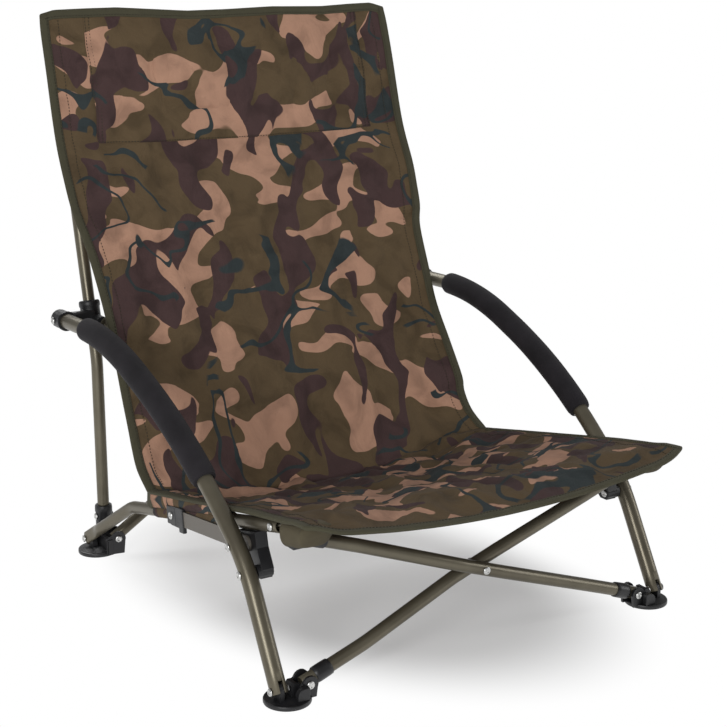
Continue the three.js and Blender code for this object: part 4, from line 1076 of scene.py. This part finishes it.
make_pad()
for label, edge, sign in (("left", PAD_LEFT, 1), ("right", PAD_RIGHT, -1)):
    for seam, inset in (("a", 0.3), ("b", 1.3)):
        rows = np.linspace(PAD_LOW, PAD_HIGH, 110)
        cols = np.full(len(rows), edge + sign * inset)
        stitches(f"stitch_pad_{label}_{seam}", "back", rows, cols, PAD_LIFT)
cols = np.linspace(PAD_LEFT, PAD_RIGHT, 330)
dip = PAD_DIP * np.sin(np.pi * (cols - PAD_LEFT) / (PAD_RIGHT - PAD_LEFT))
stitches("stitch_pad_low", "back", PAD_LOW - dip + 0.25, cols, 0.7)

# Cloth tunnels round the side tubes, with the hem that joins them to the seat's edge
TUNNEL_REAR, TUNNEL_RUN, TUNNEL_R = BEND_Y, 205, 9.3
HEM_START, HEM_STEPS, HEM_COLS = N_SEAT / 2, 50, 6
HEM_X, HEM_RISE, HEM_DROP, HEM_BULGE = 256.5, 6.0, 1.4, 1.6
HEM_PRINT = (0.62, 0.02)


def make_tunnel(name, k):
    rings = []
    for t in np.linspace(0, 1, 46):
        y = TUNNEL_REAR - TUNNEL_RUN * t
        centre = Vector((k * SIDE_X, y, side_line(y)))
        end = max(0, 1 - min(t, 1 - t) / 0.02)
        size = TUNNEL_R + 0.5 * noise.noise(Vector((y * 0.05, k, 2.0))) - 0.7 * end
        rings.append([centre + Vector((c * size, 0, s * size * (1 + 0.14 * max(0, s) ** 3)))
                      for c, s in circle(28)])
    fit(loft("tunnel_" + name, rings, CAMO), "side_" + name)


def make_hem(name, k):
    verts, uvs = [], []
    for j in range(HEM_STEPS + 1):
        row = HEM_START + (N_SEAT - HEM_START) * j / HEM_STEPS
        p, n = surface(min(row, N_SEAT - 0.01), 0.6 if k < 0 else NU - 0.6)
        low = Vector((k * HEM_X, p.y, side_line(p.y) + HEM_RISE))
        for q in range(HEM_COLS):
            t = q / (HEM_COLS - 1)
            m = (p - n * HEM_DROP).lerp(low, t)
            m.x += k * HEM_BULGE * math.sin(math.pi * t) + 0.8 * noise.noise(Vector((p.y * 0.06, t * 2, k)))
            verts.append(at(*m))
            uvs.append((HEM_PRINT[0] + t * HEM_PRINT[1], (row / N_SEAT * SEAT_LENGTH) * MM))
    hem = obj_from("hem_" + name, verts, grid_faces(HEM_STEPS + 1, HEM_COLS), [CAMO], uvs=uvs)
    thicken(hem, 1.0)
    fit(hem, "side_" + name)


def make_side_edge(name, k):
    make_tunnel(name, k)
    make_hem(name, k)


side_pair(make_side_edge)

# Bags of plain cloth over the front ends of the side tubes, under the seat's front corners
BAG_REAR, BAG_RUN, BAG_HALF, BAG_X, BAG_HANG_X = 22, 56, 21, 237.5, 240
# Where the bag's bottom changes its height, and its heights after the first, which follows the seat
BAG_PLACES, BAG_HEIGHTS = [-34, -24, -6, 14, 22], [183, 177, 172, 175]


def make_bag(name, k):
    rings = []
    for t in np.linspace(0, 1, 30):
        y = BAG_REAR - BAG_RUN * t
        row = np.interp(y, [SEAT_EDGE[0][0], BEND_Y], [0, N_SEAT])
        top = surface(row, NU * (0.5 + 0.5 * k * BAG_HANG_X / SEAT_HALF))[0].z - 2.2
        bottom = min(np.interp(y, BAG_PLACES, [top - 12] + BAG_HEIGHTS), top - 8)
        end = max(0.0, 1 - min(t, 1 - t) / 0.12)
        half = BAG_HALF * math.sqrt(max(0.02, 1 - end * end * 0.75))
        high = (top - bottom) / 2 * math.sqrt(max(0.05, 1 - end * end * 0.6))
        middle = Vector((k * BAG_X, y, (top + bottom) / 2 + (top - bottom) * 0.05 * end))
        ring = []
        for c, s in circle(32):
            x = math.copysign(abs(c) ** 0.75, c) * half
            z = math.copysign(abs(s) ** 0.8, s) * high
            dent = 0.9 * noise.noise(Vector((y * 0.06, c * 1.6, s * 1.6 + k)))
            ring.append(middle + Vector((x + dent * c, 0, z + dent * s)))
        rings.append(ring)
    bag = loft("corner_bag_" + name, rings, OLIVE)
    bag.modifiers.new("smooth", "SUBSURF").levels = 1
    fit(bag, "side_" + name, "corner_pocket_" + name)


side_pair(make_bag)

# Sleeves over the tops of the uprights, each with a thicker hem
TOP_SLEEVE_RUN, TOP_SLEEVE_R, TOP_SLEEVE_CAP, TOP_SLEEVE_ABOVE = 57, 10.5, 7, 2.6
TOP_HEM_FROM, TOP_HEM_THICK = 0.93, 0.5


def make_sleeve(name, k):
    way = Vector((0, UPRIGHT_TOP[0] - UPRIGHT_LEAN[0], UPRIGHT_TOP[1] - UPRIGHT_LEAN[1])).normalized()
    top = Vector((k * UPRIGHT_X, *UPRIGHT_TOP)) + way * TOP_SLEEVE_ABOVE
    rings = []
    for t in np.linspace(0, 1, 26):
        d = TOP_SLEEVE_RUN * t
        end = max(0.0, 1 - d / TOP_SLEEVE_CAP)
        size = TOP_SLEEVE_R * math.sqrt(max(0.03, 1 - end * end))
        size += 0.35 * noise.noise(Vector((d * 0.08, k, 4)))
        if t > TOP_HEM_FROM:
            size += TOP_HEM_THICK
        ring = []
        for c, s in circle(28):
            pull = 0.3 * noise.noise(Vector((c * 1.5, s * 1.5, d * 0.05 + k)))
            ring.append(top - way * d + Vector((c, s * way.z, -s * way.y)) * (size + pull))
        rings.append(ring)
    fit(loft("top_sleeve_" + name, rings, CAMO), "rear_" + name, "back_sleeve_" + name)


side_pair(make_sleeve)

# A folded strap at the rear corners of the seat, from the bend to the tube; its section in shares
STRAP_START, STRAP_WAY = (259, 351, 141), (-4, 12, -26)
STRAP_SECTION = [(1, -1), (1.2, -0.5), (1.2, 0.5), (1, 1), (-1, 1), (-1.2, 0.5), (-1.2, -0.5), (-1, -1)]
STRAP_THICK, STRAP_WIDE, STRAP_TILT = 1.1, 8.0, 2.0


def make_strap(name, k):
    rings = []
    for t in np.linspace(0, 1, 12):
        p = sided(k, [start + way * t for start, way in zip(STRAP_START, STRAP_WAY)])
        rings.append([p + Vector((k * a * STRAP_THICK, b * STRAP_WIDE, b * STRAP_TILT))
                      for a, b in STRAP_SECTION])
    fit(loft("corner_strap_" + name, rings, TAPE), "side_" + name)


side_pair(make_strap)

# Each piece of cloth has its modifiers applied and a mesh of its own; the table lists, for the seat and the
# back, the x to press the cloth towards as the chair folds, in metres, and the share of its width to keep
SQUASH = {"seat": (-0.249, 0.157), "back": (-0.2236, 0.0627)}
for place, (x, keep) in SQUASH.items():
    for piece in SOFT[place]:
        for modifier in list(piece.modifiers):
            with bpy.context.temp_override(object=piece, active_object=piece, selected_objects=[piece]):
                bpy.ops.object.modifier_apply(modifier=modifier.name)
        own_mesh(piece)

low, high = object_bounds()
